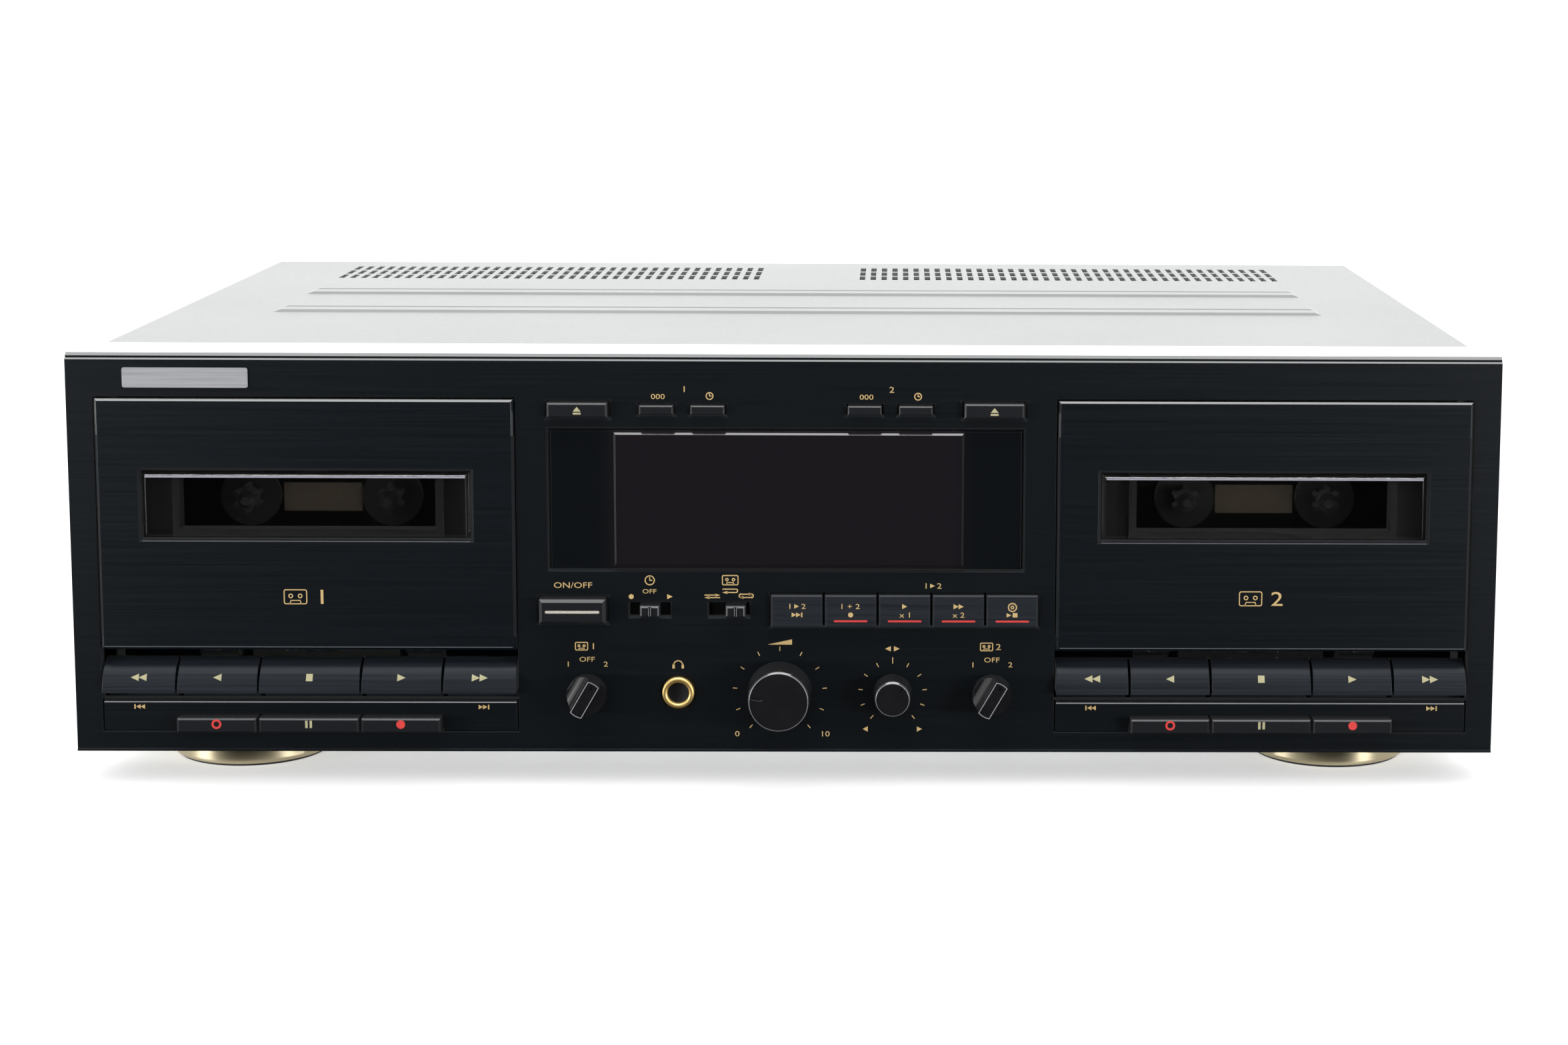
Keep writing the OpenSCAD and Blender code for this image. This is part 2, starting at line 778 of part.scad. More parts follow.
module rear_sockets() {
    color("#232427") {
        translate([RCA_AT[0], socket_y, RCA_AT[1]]) {
            box([-RCA_PLATE[0], 0, -RCA_PLATE[1]], [RCA_PLATE[0], socket_flange, RCA_PLATE[1]]);
            box([-RCA_BODY[0], -12, -RCA_BODY[1]], [RCA_BODY[0], 0.5, RCA_BODY[1]]);
        }
        // Mains inlet: a figure-of-eight cavity with two contact pins
        translate([INLET_AT[0], socket_y, INLET_AT[1]]) {
            difference() {
                union() {
                    box([-16, 0, -12], [16, socket_flange, 12]);
                    box([-12, -18, -8], [12, 0.5, 8]);
                }
                for (x = [-4.3, 4.3])
                    translate([x, 0, 0])
                        ycyl(4, -11, 5);
                box([-4.3, -11, -3], [4.3, 5, 3]);
            }
            for (x = [-4.3, 4.3])
                translate([x, 0, 0])
                    ycyl(1.2, -12, -4.5);
        }
    }
    color("#c9c4b2")
        translate([RCA_AT[0], socket_y + socket_flange + eps, RCA_AT[1]])
            for (i = [-1, 1], j = [-1, 1])
                translate([i * RCA_PITCH[0] / 2, 0, j * RCA_PITCH[1] / 2])
                    line_socket();
}

module phones_jack() {
    color("#c8a04e")
        translate([phones_x, 0, knob_z])
            difference() {
                union() {
                    ycyl(jack_ring, -0.8, 0.6);
                    ycyl(jack_ring - 0.85, 0.5, face_t + 0.5);
                    box([-jack_half, face_t, -jack_half], [jack_half, jack_depth + 3, jack_half]);
                }
                ycyl(jack_r, -2, jack_depth - 0.8);
            }
}

// Foot: turned shell with a rounded lower edge and a recess for its screw
module foot_shell() {
    r = foot_d / 2;
    rotate_extrude($fn = 96)
        polygon([
            [1.9, 0], [r, 0], [r, 1.6 - foot_h + pad_t], [r - 0.5, 0.5 - foot_h + pad_t],
            [r - 1.4, pad_t - foot_h], [7, pad_t - foot_h], [7, -4], [1.9, -4]
        ]);
}

module foot_pad() {
    r = foot_d / 2;
    rotate_extrude($fn = 96)
        polygon([
            [9, -foot_h], [r - 2, -foot_h], [r - 1.5, 0.4 - foot_h],
            [r - 1.5, pad_t - eps - foot_h], [9, pad_t - eps - foot_h]
        ]);
}

module feet() {
    color("#cbb994")
        for (p = FOOT_AT)
            translate(p)
                foot_shell();
    color("#1c1c1d")
        for (p = FOOT_AT)
            translate(p)
                foot_pad();
}

// Screw standing on Z = 0, head up, with a cross recess
module screw(head_r, head_h, r, len) {
    difference() {
        union() {
            cylinder(h = head_h, r = head_r);
            translate([0, 0, -len])
                cylinder(h = len + 0.1, r = r);
        }
        translate([0, 0, head_h])
            for (a = [0, 90])
                rotate([0, 0, a])
                    cube([head_r * 1.2, 0.7, 1.6], center = true);
    }
}

module screws() {
    color("#2b2c2e") {
        for (s = [-1, 1], y = SIDE_Y)
            translate([s * cover_w / 2, y, side_z])
                rotate([0, s * 90, 0])
                    screw(3.6, 1.8, 1.5, 7);
        for (x = LIP_X)
            translate([x, body_d, cover_top - lip_h / 2 - 1])
                rotate([-90, 0, 0])
                    screw(3, 1.8, 1.5, 7);
        for (x = LUG_X)
            translate([x, lug_y, 0])
                rotate([180, 0, 0])
                    screw(3, 1.6, 1.5, 3.6);
        for (s = [-1, 1], x = FRAME_SCREW_X)
            translate([s * (well_x + x), frame_y + 7, 0])
                rotate([180, 0, 0])
                    screw(3, 1.6, 1.5, 3.6);
        for (p = FOOT_AT)
            translate(p - [0, 0, 4])
                rotate([180, 0, 0])
                    screw(3.6, 2, 1.5, foot_screw);
        for (x = TRAFO_SCREW_X)
            translate([TRAFO_AT[0] + x, TRAFO_AT[1], sheet_t + 2])
                screw(3, 1.6, 1.5, 4);
    }
}

// Drive belt round a pulley and a flywheel, with room to run
module belt(r0, r1, x0, x1, w) {
    rotate([90, 0, 0])
        linear_extrude(w)
            difference() {
                hull() {
                    translate([x0, 0])
                        circle(r0 + 1.1, $fn = 32);
                    translate([x1, 0])
                        circle(r1 + 1.1, $fn = 48);
                }
                hull() {
                    translate([x0, 0])
                        circle(r0 + 0.4, $fn = 32);
                    translate([x1, 0])
                        circle(r1 + 0.4, $fn = 48);
                }
            }
}

GUIDE_X = 24;
FRAME_SCREW_X = [-45, -28];
// Lower edge of the head base below the tape edge of the cassette
head_drop = 18;
head_z = pocket_z - head_drop;
pulley_r = 4;

// Mechanism frame of one deck: plate on the chassis, arms for the door, bearings, rear bracket
module mechanism_frame(deck) {
    difference() {
        union() {
            box([-frame_half, frame_y, sheet_t], [frame_half, frame_back, frame_top]);
            box([-frame_half, frame_y, sheet_t], [frame_half, frame_y + frame_foot, sheet_t + frame_t]);
            for (s = [-1, 1]) {
                x0 = holder_half + 1.2;
                translate([s * (x0 + 0.9), 0, pivot_z]) {
                    box([-0.9, pivot_y, -3.8], [0.9, frame_y + 0.5, 3.8]);
                    translate([0, pivot_y, 0])
                        xcyl(3.8, -0.9, 0.9);
                }
                translate([s * hub_pitch / 2, 0, hub_z])
                    ycyl(4, frame_y, frame_back + 2.4);
                translate([s * GUIDE_X, 0, head_z + 7])
                    ycyl(1.5, frame_y - 3.2, frame_back);
                translate([s * 56, 0, capstan_z])
                    ycyl(2.5, frame_back - 0.5, bracket_y + 0.5);
            }
            translate([capstan_x, 0, capstan_z])
                ycyl(3.4, frame_y, frame_back + 2.4);
            box([-58.6, bracket_y, capstan_z - 9], [58.6, bracket_y + frame_t, capstan_z + 9]);
        }
        for (s = [-1, 1]) {
            translate([s * hub_pitch / 2, 0, hub_z])
                ycyl(1.5 + shaft_gap, frame_y - 1, frame_back + 4);
            translate([s * (holder_half + 2), pivot_y, pivot_z])
                xcyl(pivot_r + shaft_gap, -4, 4);
        }
        translate([capstan_x, 0, capstan_z])
            ycyl(capstan_r + shaft_gap, frame_y - 1, bracket_y + 5);
        translate([motor_x, 0, capstan_z])
            ycyl(3, bracket_y - 1, bracket_y + 5);
        for (x = FRAME_SCREW_X)
            translate([deck * x, frame_y + 7, 0])
                cylinder(h = 8, r = 1.6);
    }
}

module mechanism_frames() {
    for (s = [-1, 1])
        translate([s * well_x, 0, 0]) {
            color("#3a3b3e")
                mechanism_frame(s);
            // Motor with its pulley
            color("#a8a9a6")
                translate([motor_x, 0, capstan_z]) {
                    y0 = bracket_y + frame_t + eps;
                    ycyl(motor_r, y0, y0 + motor_len);
                    ycyl(1, frame_back + 3.6, y0 + 1);
                    ycyl(pulley_r, frame_back + 4.4, frame_back + 8.4);
                }
            color("#202020")
                translate([0, frame_back + 7.4, capstan_z])
                    belt(pulley_r, fly_r, motor_x, capstan_x, 2);
        }
}

// Reel spindle: splined hub in front of a round table, on a shaft through the frame
module reel_spindle() {
    y1 = frame_y - 0.4;
    ycyl(1.5, y1 - 2, frame_back + 4.2);
    ycyl(9, y1 - 2, y1);
    ycyl(2.9, spindle_tip + 1.6, y1 - 1);
    translate([0, spindle_tip + 1.7, 0])
        rotate([90, 0, 0])
            cylinder(h = 1.7, r1 = 2.9, r2 = 1.2);
    for (a = [0 : 60 : 300])
        rotate([0, a, 0])
            box([-0.6, spindle_tip + 1.6, 2], [0.6, y1 - 1, 4.2]);
    ycyl(3.2, frame_back + 2.8, frame_back + 3.8);
}

module reel_at(s, side) {
    color("#3a3b3e")
        translate([s * well_x + side * hub_pitch / 2, 0, hub_z])
            reel_spindle();
}

module reel_spindle_1_left() {
    reel_at(-1, -1);
}

module reel_spindle_1_right() {
    reel_at(-1, 1);
}

module reel_spindle_2_left() {
    reel_at(1, -1);
}

module reel_spindle_2_right() {
    reel_at(1, 1);
}

// Head base: plate with two guide slots, the tape head and two pinch rollers on posts
module head_base(s) {
    y1 = frame_y - 0.4;
    y0 = y1 - 2;
    color("#b4b5b2")
        translate([s * well_x, 0, head_z]) {
            difference() {
                union() {
                    box([-36, y0, 0], [36, y1, 11]);
                    box([-7, y0 - 9, 6], [7, y0 + 0.5, 15.4]);
                    box([-4, y0 - 9, 15], [4, y0 - 1, 15.8]);
                    for (x = [-1, 1] * capstan_x)
                        translate([x, 0, 7.4])
                            ycyl(1.2, y0 - 8.4, y0 + 0.5);
                }
                for (x = [-1, 1] * GUIDE_X) {
                    box([x - 1.8, y0 - 1, 7 - head_travel], [x + 1.8, y1 + 1, 7]);
                    for (z = [7 - head_travel, 7])
                        translate([x, 0, z])
                            ycyl(1.8, y0 - 1, y1 + 1);
                }
            }
            for (x = [-1, 1] * capstan_x)
                translate([x, 0, 7.4])
                    difference() {
                        ycyl(5.5, y0 - 8.2, y0 - 0.4);
                        ycyl(1.3, y0 - 9, y0);
                    }
        }
}

module head_base_1() {
    head_base(-1);
}

module head_base_2() {
    head_base(1);
}

// Flywheel on its capstan, which runs through the frame to the tape
module flywheel(s) {
    y0 = frame_back + fly_gap;
    color("#b08d57")
        translate([s * well_x + capstan_x, 0, capstan_z])
            difference() {
                union() {
                    ycyl(capstan_r, spindle_tip + 0.4, bracket_y + 1.2);
                    ycyl(fly_r, y0, y0 + fly_t);
                }
                difference() {
                    ycyl(fly_r - 4, y0 - 1, y0 + 1.6);
                    ycyl(5, y0 - 2, y0 + 2);
                }
            }
}

module flywheel_1() {
    flywheel(-1);
}

module flywheel_2() {
    flywheel(1);
}

// Door plate with the flared hole for its window pane
module door(s) {
    color("#15161a")
        translate([s * well_x, 0, 0])
            difference() {
                translate([0, 0, door_z + door_h / 2])
                    front_block(door_w, door_h, -door_proud, door_back, door_c);
                translate([0, 0, win_z])
                    opening(win_w + 2 * win_gap, win_h + 2 * win_gap, -door_proud, door_t + 1, 0.8);
            }
}

module door_1() {
    door(-1);
}

module door_2() {
    door(1);
}

// Window pane with a chamfered front and a flange behind the door plate
module door_window(s) {
    fx = win_w / 2 + 2.4;
    fz = win_h / 2 + 2.4;
    color("#1b1c20")
        translate([s * well_x, 0, win_z]) {
            front_block(win_w, win_h, 0.1 - door_proud, door_back + 0.5, 0.9);
            box([-fx, door_back, -fz], [fx, door_back + win_flange, fz]);
        }
}

module door_window_1() {
    door_window(-1);
}

module door_window_2() {
    door_window(1);
}

// Cassette holder behind a door: wall with a view tunnel, two side channels, ledges and pivot pins
module cassette_holder(s) {
    x1 = holder_half;
    x0 = x1 - 2.3;
    z0 = pocket_z - 2.5;
    wall_y = wall_back - wall_t;
    color("#232428")
        translate([s * well_x, 0, 0])
            difference() {
                union() {
                    box([-x1, wall_y, z0], [x1, wall_back, holder_top]);
                    // Ribs that hold the wall to the door plate
                    for (k = [-1, 1]) {
                        side_box(k, x1 - 2.2, x1, [door_back, wall_back], [z0, holder_top]);
                        // Side channel with its rear lip, and the ledge under the cassette
                        side_box(k, x0, x1, [wall_y, tray_back], [z0, holder_top]);
                        side_box(k, x0 - 4.5, x1, [tray_back - 1.2, tray_back], [z0, holder_top]);
                        side_box(k, 40, x1, [wall_y, tray_back], [z0, pocket_z]);
                        translate([k * (x1 + 0.9), pivot_y, pivot_z])
                            xcyl(pivot_r, -1.9, 1.9);
                    }
                    box([-x1, door_back, holder_top - 2.2], [x1, wall_back, holder_top]);
                    box([-x1, door_back, z0], [x1, wall_back, z0 + 2.2]);
                    translate([0, 0, win_z]) {
                        tw = view_w / 2 + 2;
                        th = view_h / 2 + 2;
                        box([-tw, door_back + win_flange + 0.1, -th], [tw, wall_back, th]);
                    }
                }
                translate([0, 0, win_z])
                    box([-view_w / 2, 0, -view_h / 2], [view_w / 2, wall_back + 1, view_h / 2]);
            }
}

module cassette_holder_1() {
    cassette_holder(-1);
}

module cassette_holder_2() {
    cassette_holder(1);
}

// Power button with a groove across its front for an inlaid bar
module power_button() {
    bar_x = power_w / 2 - 1.7;
    color("#1c1d21")
        translate([power_x, 0, row_z])
            difference() {
                push_button(power_w, power_h, power_proud, 0.9);
                box([-bar_x, -power_proud - 1, -0.45], [bar_x, 0.3 - power_proud, 0.45]);
            }
}

module eject_button(s) {
    color("#1c1d21")
        translate([s * eject_x, 0, top_z])
            push_button(eject_w, eject_h, 2.2, 0.5);
}

module eject_button_1() {
    eject_button(-1);
}

module eject_button_2() {
    eject_button(1);
}

module small_button(x) {
    color("#1c1d21")
        translate([x, 0, top_z])
            push_button(small_w, small_h, 1.4, 0.4);
}

module reset_button_1() {
    small_button(small_at(-1, 1));
}

module time_button_1() {
    small_button(small_at(-1, 0));
}

module reset_button_2() {
    small_button(small_at(1, 0));
}

module time_button_2() {
    small_button(small_at(1, 1));
}

// Transport key: upright at its lower edge and rounded back towards the door above it
module transport_key(s, i) {
    w = KEY_W[i];
    r = key_h + key_round;
    color("#34353a")
        translate([s * well_x + KEY_X[i], 0, 0]) {
            intersection() {
                box([-w / 2, -key_proud, key_z], [w / 2, 6, key_z + key_h]);
                translate([0, r - key_proud, key_z])
                    rotate([0, 90, 0])
                        cylinder(h = w + 2, r = r, center = true, $fn = 128);
            }
            box([-w / 2 + 0.4, face_t + 0.4, apron_top - 0.9], [w / 2 - 0.4, 6, key_z + 1]);
            translate([0, 0, key_z + 3])
                box([-1.6, 5, -1.2], [1.6, stem_y, 1.2]);
        }
}

module rewind_key_1() {
    transport_key(-1, 0);
}

module reverse_key_1() {
    transport_key(-1, 1);
}

module stop_key_1() {
    transport_key(-1, 2);
}

module play_key_1() {
    transport_key(-1, 3);
}

module forward_key_1() {
    transport_key(-1, 4);
}

module rewind_key_2() {
    transport_key(1, 0);
}

module reverse_key_2() {
    transport_key(1, 1);
}

module stop_key_2() {
    transport_key(1, 2);
}

module play_key_2() {
    transport_key(1, 3);
}

module forward_key_2() {
    transport_key(1, 4);
}

// Lower key, in the strip below the transport keys
module lower_key(s, i) {
    color("#26272b")
        translate([s * well_x + KEY_X[i], 0, apron_z + sub_h / 2])
            push_button(KEY_W[i], sub_h, sub_proud, 0.5);
}

module rec_mute_key_1() {
    lower_key(-1, 1);
}

module pause_key_1() {
    lower_key(-1, 2);
}

module record_key_1() {
    lower_key(-1, 3);
}

module rec_mute_key_2() {
    lower_key(1, 1);
}

module pause_key_2() {
    lower_key(1, 2);
}

module record_key_2() {
    lower_key(1, 3);
}

module mode_button(i) {
    color("#34353a")
        translate([mode_at(i), 0, row_z])
            push_button(mode_w, mode_h, 1.8, 0.5);
}

module mode_button_1() {
    mode_button(0);
}

module mode_button_2() {
    mode_button(1);
}

module mode_button_3() {
    mode_button(2);
}

module mode_button_4() {
    mode_button(3);
}

module mode_button_5() {
    mode_button(4);
}

// Slide switch: cap with a ridge, on a carrier that keeps the slot covered
module slide_switch(x) {
    h = slot_h - 1.2;
    color("#1c1d21")
        translate([x, 0, row_z - 0.2]) {
            front_block(cap_w, h, -1.8, face_t + 0.6, 0.4);
            box([-0.4, -2.2, 0.3 - h / 2], [0.4, -1.6, h / 2 - 0.3]);
            box([-slot_w / 2 - 1, face_t + 0.4, -3], [slot_w / 2 + 1, face_t + 1.8, 3]);
            box([-1.5, face_t + 1.6, -1], [1.5, 7.5, 1]);
        }
}

module timer_switch() {
    slide_switch(timer_x);
}

module reverse_switch() {
    slide_switch(reverse_x + slide_travel);
}

// Shaft of a knob, from inside the knob to its control
module knob_shaft(y0) {
    ycyl(shaft_r, y0, 13);
}

// Selector knob: round base with a bar left standing between two scoops, turned to its right-hand place
module nr_knob(x) {
    base = 3.8;
    scoop = 4;
    color("#1a1b1e")
        translate([x, 0, knob_z])
            rotate([0, 30, 0]) {
                difference() {
                    ycyl(nr_r, -nr_len, -0.6);
                    for (k = [-1, 1])
                        translate([k * (nr_bar / 2 + scoop), -base - scoop, 0]) {
                            cylinder(h = 4 * nr_r, r = scoop, center = true);
                            box([-scoop, -nr_len, -2 * nr_r], [scoop, 0, 2 * nr_r]);
                        }
                    ycyl(shaft_r + shaft_gap, -3.2, 0);
                    box([-0.5, -nr_len - 1, nr_r - 2.4], [0.5, 0.4 - nr_len, nr_r - 1.2]);
                }
                knob_shaft(-3.1);
            }
}

module nr_knob_1() {
    nr_knob(nr_x[0]);
}

module nr_knob_2() {
    nr_knob(nr_x[1]);
}

// Round knob, a little narrower in front, with a chamfered rim and a round-ended pointer groove at an angle
module round_knob(x, r, len, taper, turn, bore) {
    f = r - taper;
    color("#1a1b1e")
        translate([x, 0, knob_z])
            rotate([0, turn, 0]) {
                difference() {
                    rotate([90, 0, 0])
                        rotate_extrude($fn = 96)
                            polygon([[0, 0.6], [r, 0.6], [f, len - 0.6], [f - 0.6, len], [0, len]]);
                    ycyl(shaft_r + shaft_gap, -bore, 0);
                    box([-0.4, -len - 1, f * 0.58], [0.4, 0.3 - len, f * 0.83]);
                    for (k = [0.58, 0.83])
                        translate([0, 0, f * k])
                            ycyl(0.4, -len - 1, 0.3 - len);
                }
                knob_shaft(0.1 - bore);
            }
}

module rec_level_knob() {
    round_knob(level_x, level_r, level_len, 0.6, level_turn, 8);
}

module rec_balance_knob() {
    round_knob(balance_x, balance_r, balance_len, 0.5, balance_turn, 6);
}

placed() front_panel();
placed() top_cover();
placed() chassis();
placed() rear_panel();
placed() display_window();
placed() circuit_boards();
placed() power_transformer();
placed() rear_sockets();
placed() phones_jack();
placed() feet();
placed() screws();
placed() mechanism_frames();
placed() reel_spindle_1_left();
placed() reel_spindle_1_right();
placed() reel_spindle_2_left();
placed() reel_spindle_2_right();
placed() head_base_1();
placed() head_base_2();
placed() flywheel_1();
placed() flywheel_2();
placed() door_1();
placed() door_2();
placed() door_window_1();
placed() door_window_2();
placed() cassette_holder_1();
placed() cassette_holder_2();
placed() power_button();
placed() eject_button_1();
placed() eject_button_2();
placed() reset_button_1();
placed() reset_button_2();
placed() time_button_1();
placed() time_button_2();
placed() rewind_key_1();
placed() reverse_key_1();
placed() stop_key_1();
placed() play_key_1();
placed() forward_key_1();
placed() rewind_key_2();
placed() reverse_key_2();
placed() stop_key_2();
placed() play_key_2();
placed() forward_key_2();
placed() rec_mute_key_1();
placed() pause_key_1();
placed() record_key_1();
placed() rec_mute_key_2();
placed() pause_key_2();
placed() record_key_2();
placed() mode_button_1();
placed() mode_button_2();
placed() mode_button_3();
placed() mode_button_4();
placed() mode_button_5();
placed() timer_switch();
placed() reverse_switch();
placed() nr_knob_1();
placed() nr_knob_2();
placed() rec_level_knob();
placed() rec_balance_knob();
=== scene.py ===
import math

import bmesh
import bpy
from mathutils import Matrix, Vector


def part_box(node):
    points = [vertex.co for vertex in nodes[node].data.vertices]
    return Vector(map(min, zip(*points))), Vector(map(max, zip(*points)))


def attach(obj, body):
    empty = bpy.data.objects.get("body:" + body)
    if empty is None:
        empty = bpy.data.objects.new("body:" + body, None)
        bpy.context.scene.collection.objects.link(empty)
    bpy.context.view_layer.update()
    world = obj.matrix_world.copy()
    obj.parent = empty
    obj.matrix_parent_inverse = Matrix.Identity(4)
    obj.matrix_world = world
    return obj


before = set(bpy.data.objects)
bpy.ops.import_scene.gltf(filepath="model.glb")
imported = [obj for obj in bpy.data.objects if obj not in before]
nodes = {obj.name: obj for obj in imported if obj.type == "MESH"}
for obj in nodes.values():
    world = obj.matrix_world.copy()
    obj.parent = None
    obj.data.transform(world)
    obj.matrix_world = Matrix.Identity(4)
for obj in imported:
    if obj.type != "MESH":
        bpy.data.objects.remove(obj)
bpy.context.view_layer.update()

# Chassis pan: a folded tray that carries the boards, the transformer and the tape drives.
# Zinc-plated steel sheet, pressed, with raised posts for the main board.
# It is screwed to the cover and the panels.
MM = 0.001
SEAM = 0.002
FLAT, SHARP = 0.1, 35
EDGE_STEPS = 2


def linear(code):
    """Linear colour of an sRGB hex value."""
    parts = [int(code[i:i + 2], 16) / 255 for i in (1, 3, 5)]
    return [c / 12.92 if c <= 0.04045 else ((c + 0.055) / 1.055) ** 2.4 for c in parts] + [1]


def add(tree, kind, inputs=None, **settings):
    """Adds a node with its settings; an input that is a socket is linked, and any other is set.
    In a mix, input 0 is the share, 2 and 3 are the numbers, and 6 and 7 are the colours."""
    node = tree.nodes.new(kind)
    for name, value in settings.items():
        setattr(node, name, value)
    for key, value in (inputs or {}).items():
        if isinstance(value, bpy.types.NodeSocket):
            tree.links.new(value, node.inputs[key])
        else:
            node.inputs[key].default_value = value
    return node


def material(name):
    """Empty material, its node tree and the socket that gives a point's place on the object."""
    made = bpy.data.materials.new(name)
    made.use_nodes = True
    made.node_tree.nodes.clear()
    return made, made.node_tree, add(made.node_tree, "ShaderNodeTexCoord").outputs["Object"]


def dress(name, finish, edge):
    """Gives a frame piece its finish and rounds its sharp edges by a width in millimetres."""
    part = nodes[name]
    for place in part.material_slots:
        place.material = finish
    joined = part.modifiers.new("joined", "WELD")
    joined.merge_threshold = SEAM * MM
    plain = part.modifiers.new("plain", "DECIMATE")
    plain.decimate_type = "DISSOLVE"
    plain.angle_limit = math.radians(FLAT)
    rounded = part.modifiers.new("rounded", "BEVEL")
    rounded.width = edge * MM
    rounded.segments = EDGE_STEPS
    rounded.limit_method = "ANGLE"
    rounded.angle_limit = math.radians(SHARP)
    rounded.harden_normals = True
    even = part.modifiers.new("even", "WEIGHTED_NORMAL")
    even.keep_sharp = True


# Bright zinc plating: a cloudy silver with faint crystal patches about 7 mm wide
zinc, tree, at = material("zinc_plated_steel_sheet")
patches = add(tree, "ShaderNodeTexVoronoi", {"Vector": at, "Scale": 1 / (7 * MM)})
tone = add(tree, "ShaderNodeMix", {
    0: patches.outputs["Color"], 6: linear("#a3a7a6"), 7: linear("#bcc0bd")}, data_type="RGBA")
rough = add(tree, "ShaderNodeMapRange", {
    "Value": patches.outputs["Distance"], "To Min": 0.3, "To Max": 0.46})
skin = add(tree, "ShaderNodeBsdfPrincipled", {
    "Base Color": tone.outputs[2], "Metallic": 1.0, "Roughness": rough.outputs[0]})
add(tree, "ShaderNodeOutputMaterial", {"Surface": skin.outputs[0]})
dress("chassis", zinc, 0.2)

# Mains transformer: a stack of steel laminations round a taped coil, on a foot plate.
# The stack is varnished, and two screws hold the foot to the pan.

# Varnished laminations: grey steel ruled with dark lines; the wave repeats about three times in 20 mm,
# because real sheets, half a millimetre thick, would not show
core, tree, at = material("varnished_laminated_steel")
ruled = add(tree, "ShaderNodeTexWave", {
    "Vector": at, "Scale": 1 / (20 * MM), "Distortion": 0.3}, bands_direction="Y")
tone = add(tree, "ShaderNodeMix", {
    0: ruled.outputs["Fac"], 6: linear("#3d4044"), 7: linear("#6b6f74")}, data_type="RGBA")
ridge = add(tree, "ShaderNodeBump", {
    "Height": ruled.outputs["Fac"], "Strength": 0.4, "Distance": 0.1 * MM})
skin = add(tree, "ShaderNodeBsdfPrincipled", {
    "Base Color": tone.outputs[2], "Metallic": 0.7, "Roughness": 0.42, "Normal": ridge.outputs[0]})
add(tree, "ShaderNodeOutputMaterial", {"Surface": skin.outputs[0]})
dress("power_transformer", core, 0.4)

# Circuit boards: a control board behind the panel's middle, a key board below each door
# and a main board on posts.
# Glass-epoxy laminate under a solder mask, carrying moulded switches and potentiometers.
BOARD_T, MAIN_Z = 1.6, 9.2
FRONT_BOARDS = 18.0
LIP = 0.3
panel_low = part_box("front_panel")[0]
face = panel_low.y + LIP * MM


def spot(x, y, z):
    """Point in metres, from millimetres right of the middle, behind the panel's face
    and above its lower edge."""
    return Vector((x * MM, face + y * MM, panel_low.z + z * MM))


# Solder mask, black mouldings and painted shade: the main board's thin layer is picked out by its place;
# its tracks are a lighter green round cells of 4.5 by 2.25 mm, coarser than real ones so that they show;
# the boards behind the panel are painted near black as painted shade, so that they stay dark in its gaps
board, tree, at = material("solder_masked_laminate")
axes = add(tree, "ShaderNodeSeparateXYZ", {0: at})
main = add(tree, "ShaderNodeMath", {
    0: axes.outputs["Z"], 1: spot(0, 0, MAIN_Z + BOARD_T / 2).z, 2: 0.55 * BOARD_T * MM},
    operation="COMPARE")
behind = add(tree, "ShaderNodeMath", {
    0: axes.outputs["Y"], 1: spot(0, FRONT_BOARDS, 0).y}, operation="GREATER_THAN")
laminate = add(tree, "ShaderNodeMath", {
    0: main.outputs[0], 1: behind.outputs[0]}, operation="MULTIPLY")
tracks = add(tree, "ShaderNodeTexBrick", {
    "Vector": at, "Scale": 1 / (9 * MM), "Color1": linear("#1d4a2c"), "Color2": linear("#235636"),
    "Mortar": linear("#2f6d45"), "Mortar Size": 0.06})
# Off the main board's layer the colour is near black: real for the mouldings, painted shade for the boards
# behind the panel
tone = add(tree, "ShaderNodeMix", {
    0: laminate.outputs[0], 6: linear("#1d1e20"), 7: tracks.outputs["Color"]}, data_type="RGBA")
skin = add(tree, "ShaderNodeBsdfPrincipled", {
    "Base Color": tone.outputs[2], "Roughness": 0.38, "IOR": 1.5})
add(tree, "ShaderNodeOutputMaterial", {"Surface": skin.outputs[0]})
dress("circuit_boards", board, 0.15)

# Tape drives: for each deck a pressed frame with its motor and belt, a flywheel, a head base
# and two reel spindles, with a small unlit pane between the spindles.
# Blackened steel, turned brass, polished steel and moulded plastic, seen in part through the door windows.
WELLS = {1: -140.8, 2: 140.8}
LIGHT_HALF, LIGHT_LOW, LIGHT_HIGH, LIGHT_CORNER, LIGHT_PROUD = 11.75, 67.8, 76.4, 0.4, 0.4
FRAME_Y = 27.0
INK = 0.04


def arc(x, z, r, start, end, count):
    """Points on a circle, with angles clockwise from the top."""
    turns = [math.radians(start + (end - start) * i / (count - 1)) for i in range(count)]
    return [(x + r * math.sin(a), z + r * math.cos(a)) for a in turns]


def rounded_block(x0, x1, z0, z1, r):
    """Outline of a rectangle with rounded corners."""
    corners = ((x1 - r, z1 - r, 0), (x1 - r, z0 + r, 90), (x0 + r, z0 + r, 180), (x0 + r, z1 - r, 270))
    return [p for x, z, a in corners for p in arc(x, z, r, a, a + 90, 4)]


def prism(bm, outline, y, proud=INK):
    """Closed plate with an outline of x and z, from y less proud to y plus half of proud."""
    front = [bm.verts.new(spot(x, y - proud, z)) for x, z in outline]
    back = [bm.verts.new(spot(x, y + proud / 2, z)) for x, z in outline]
    bm.faces.new(front)
    bm.faces.new(back[::-1])
    for i in range(len(outline)):
        bm.faces.new((front[i - 1], front[i], back[i], back[i - 1]))


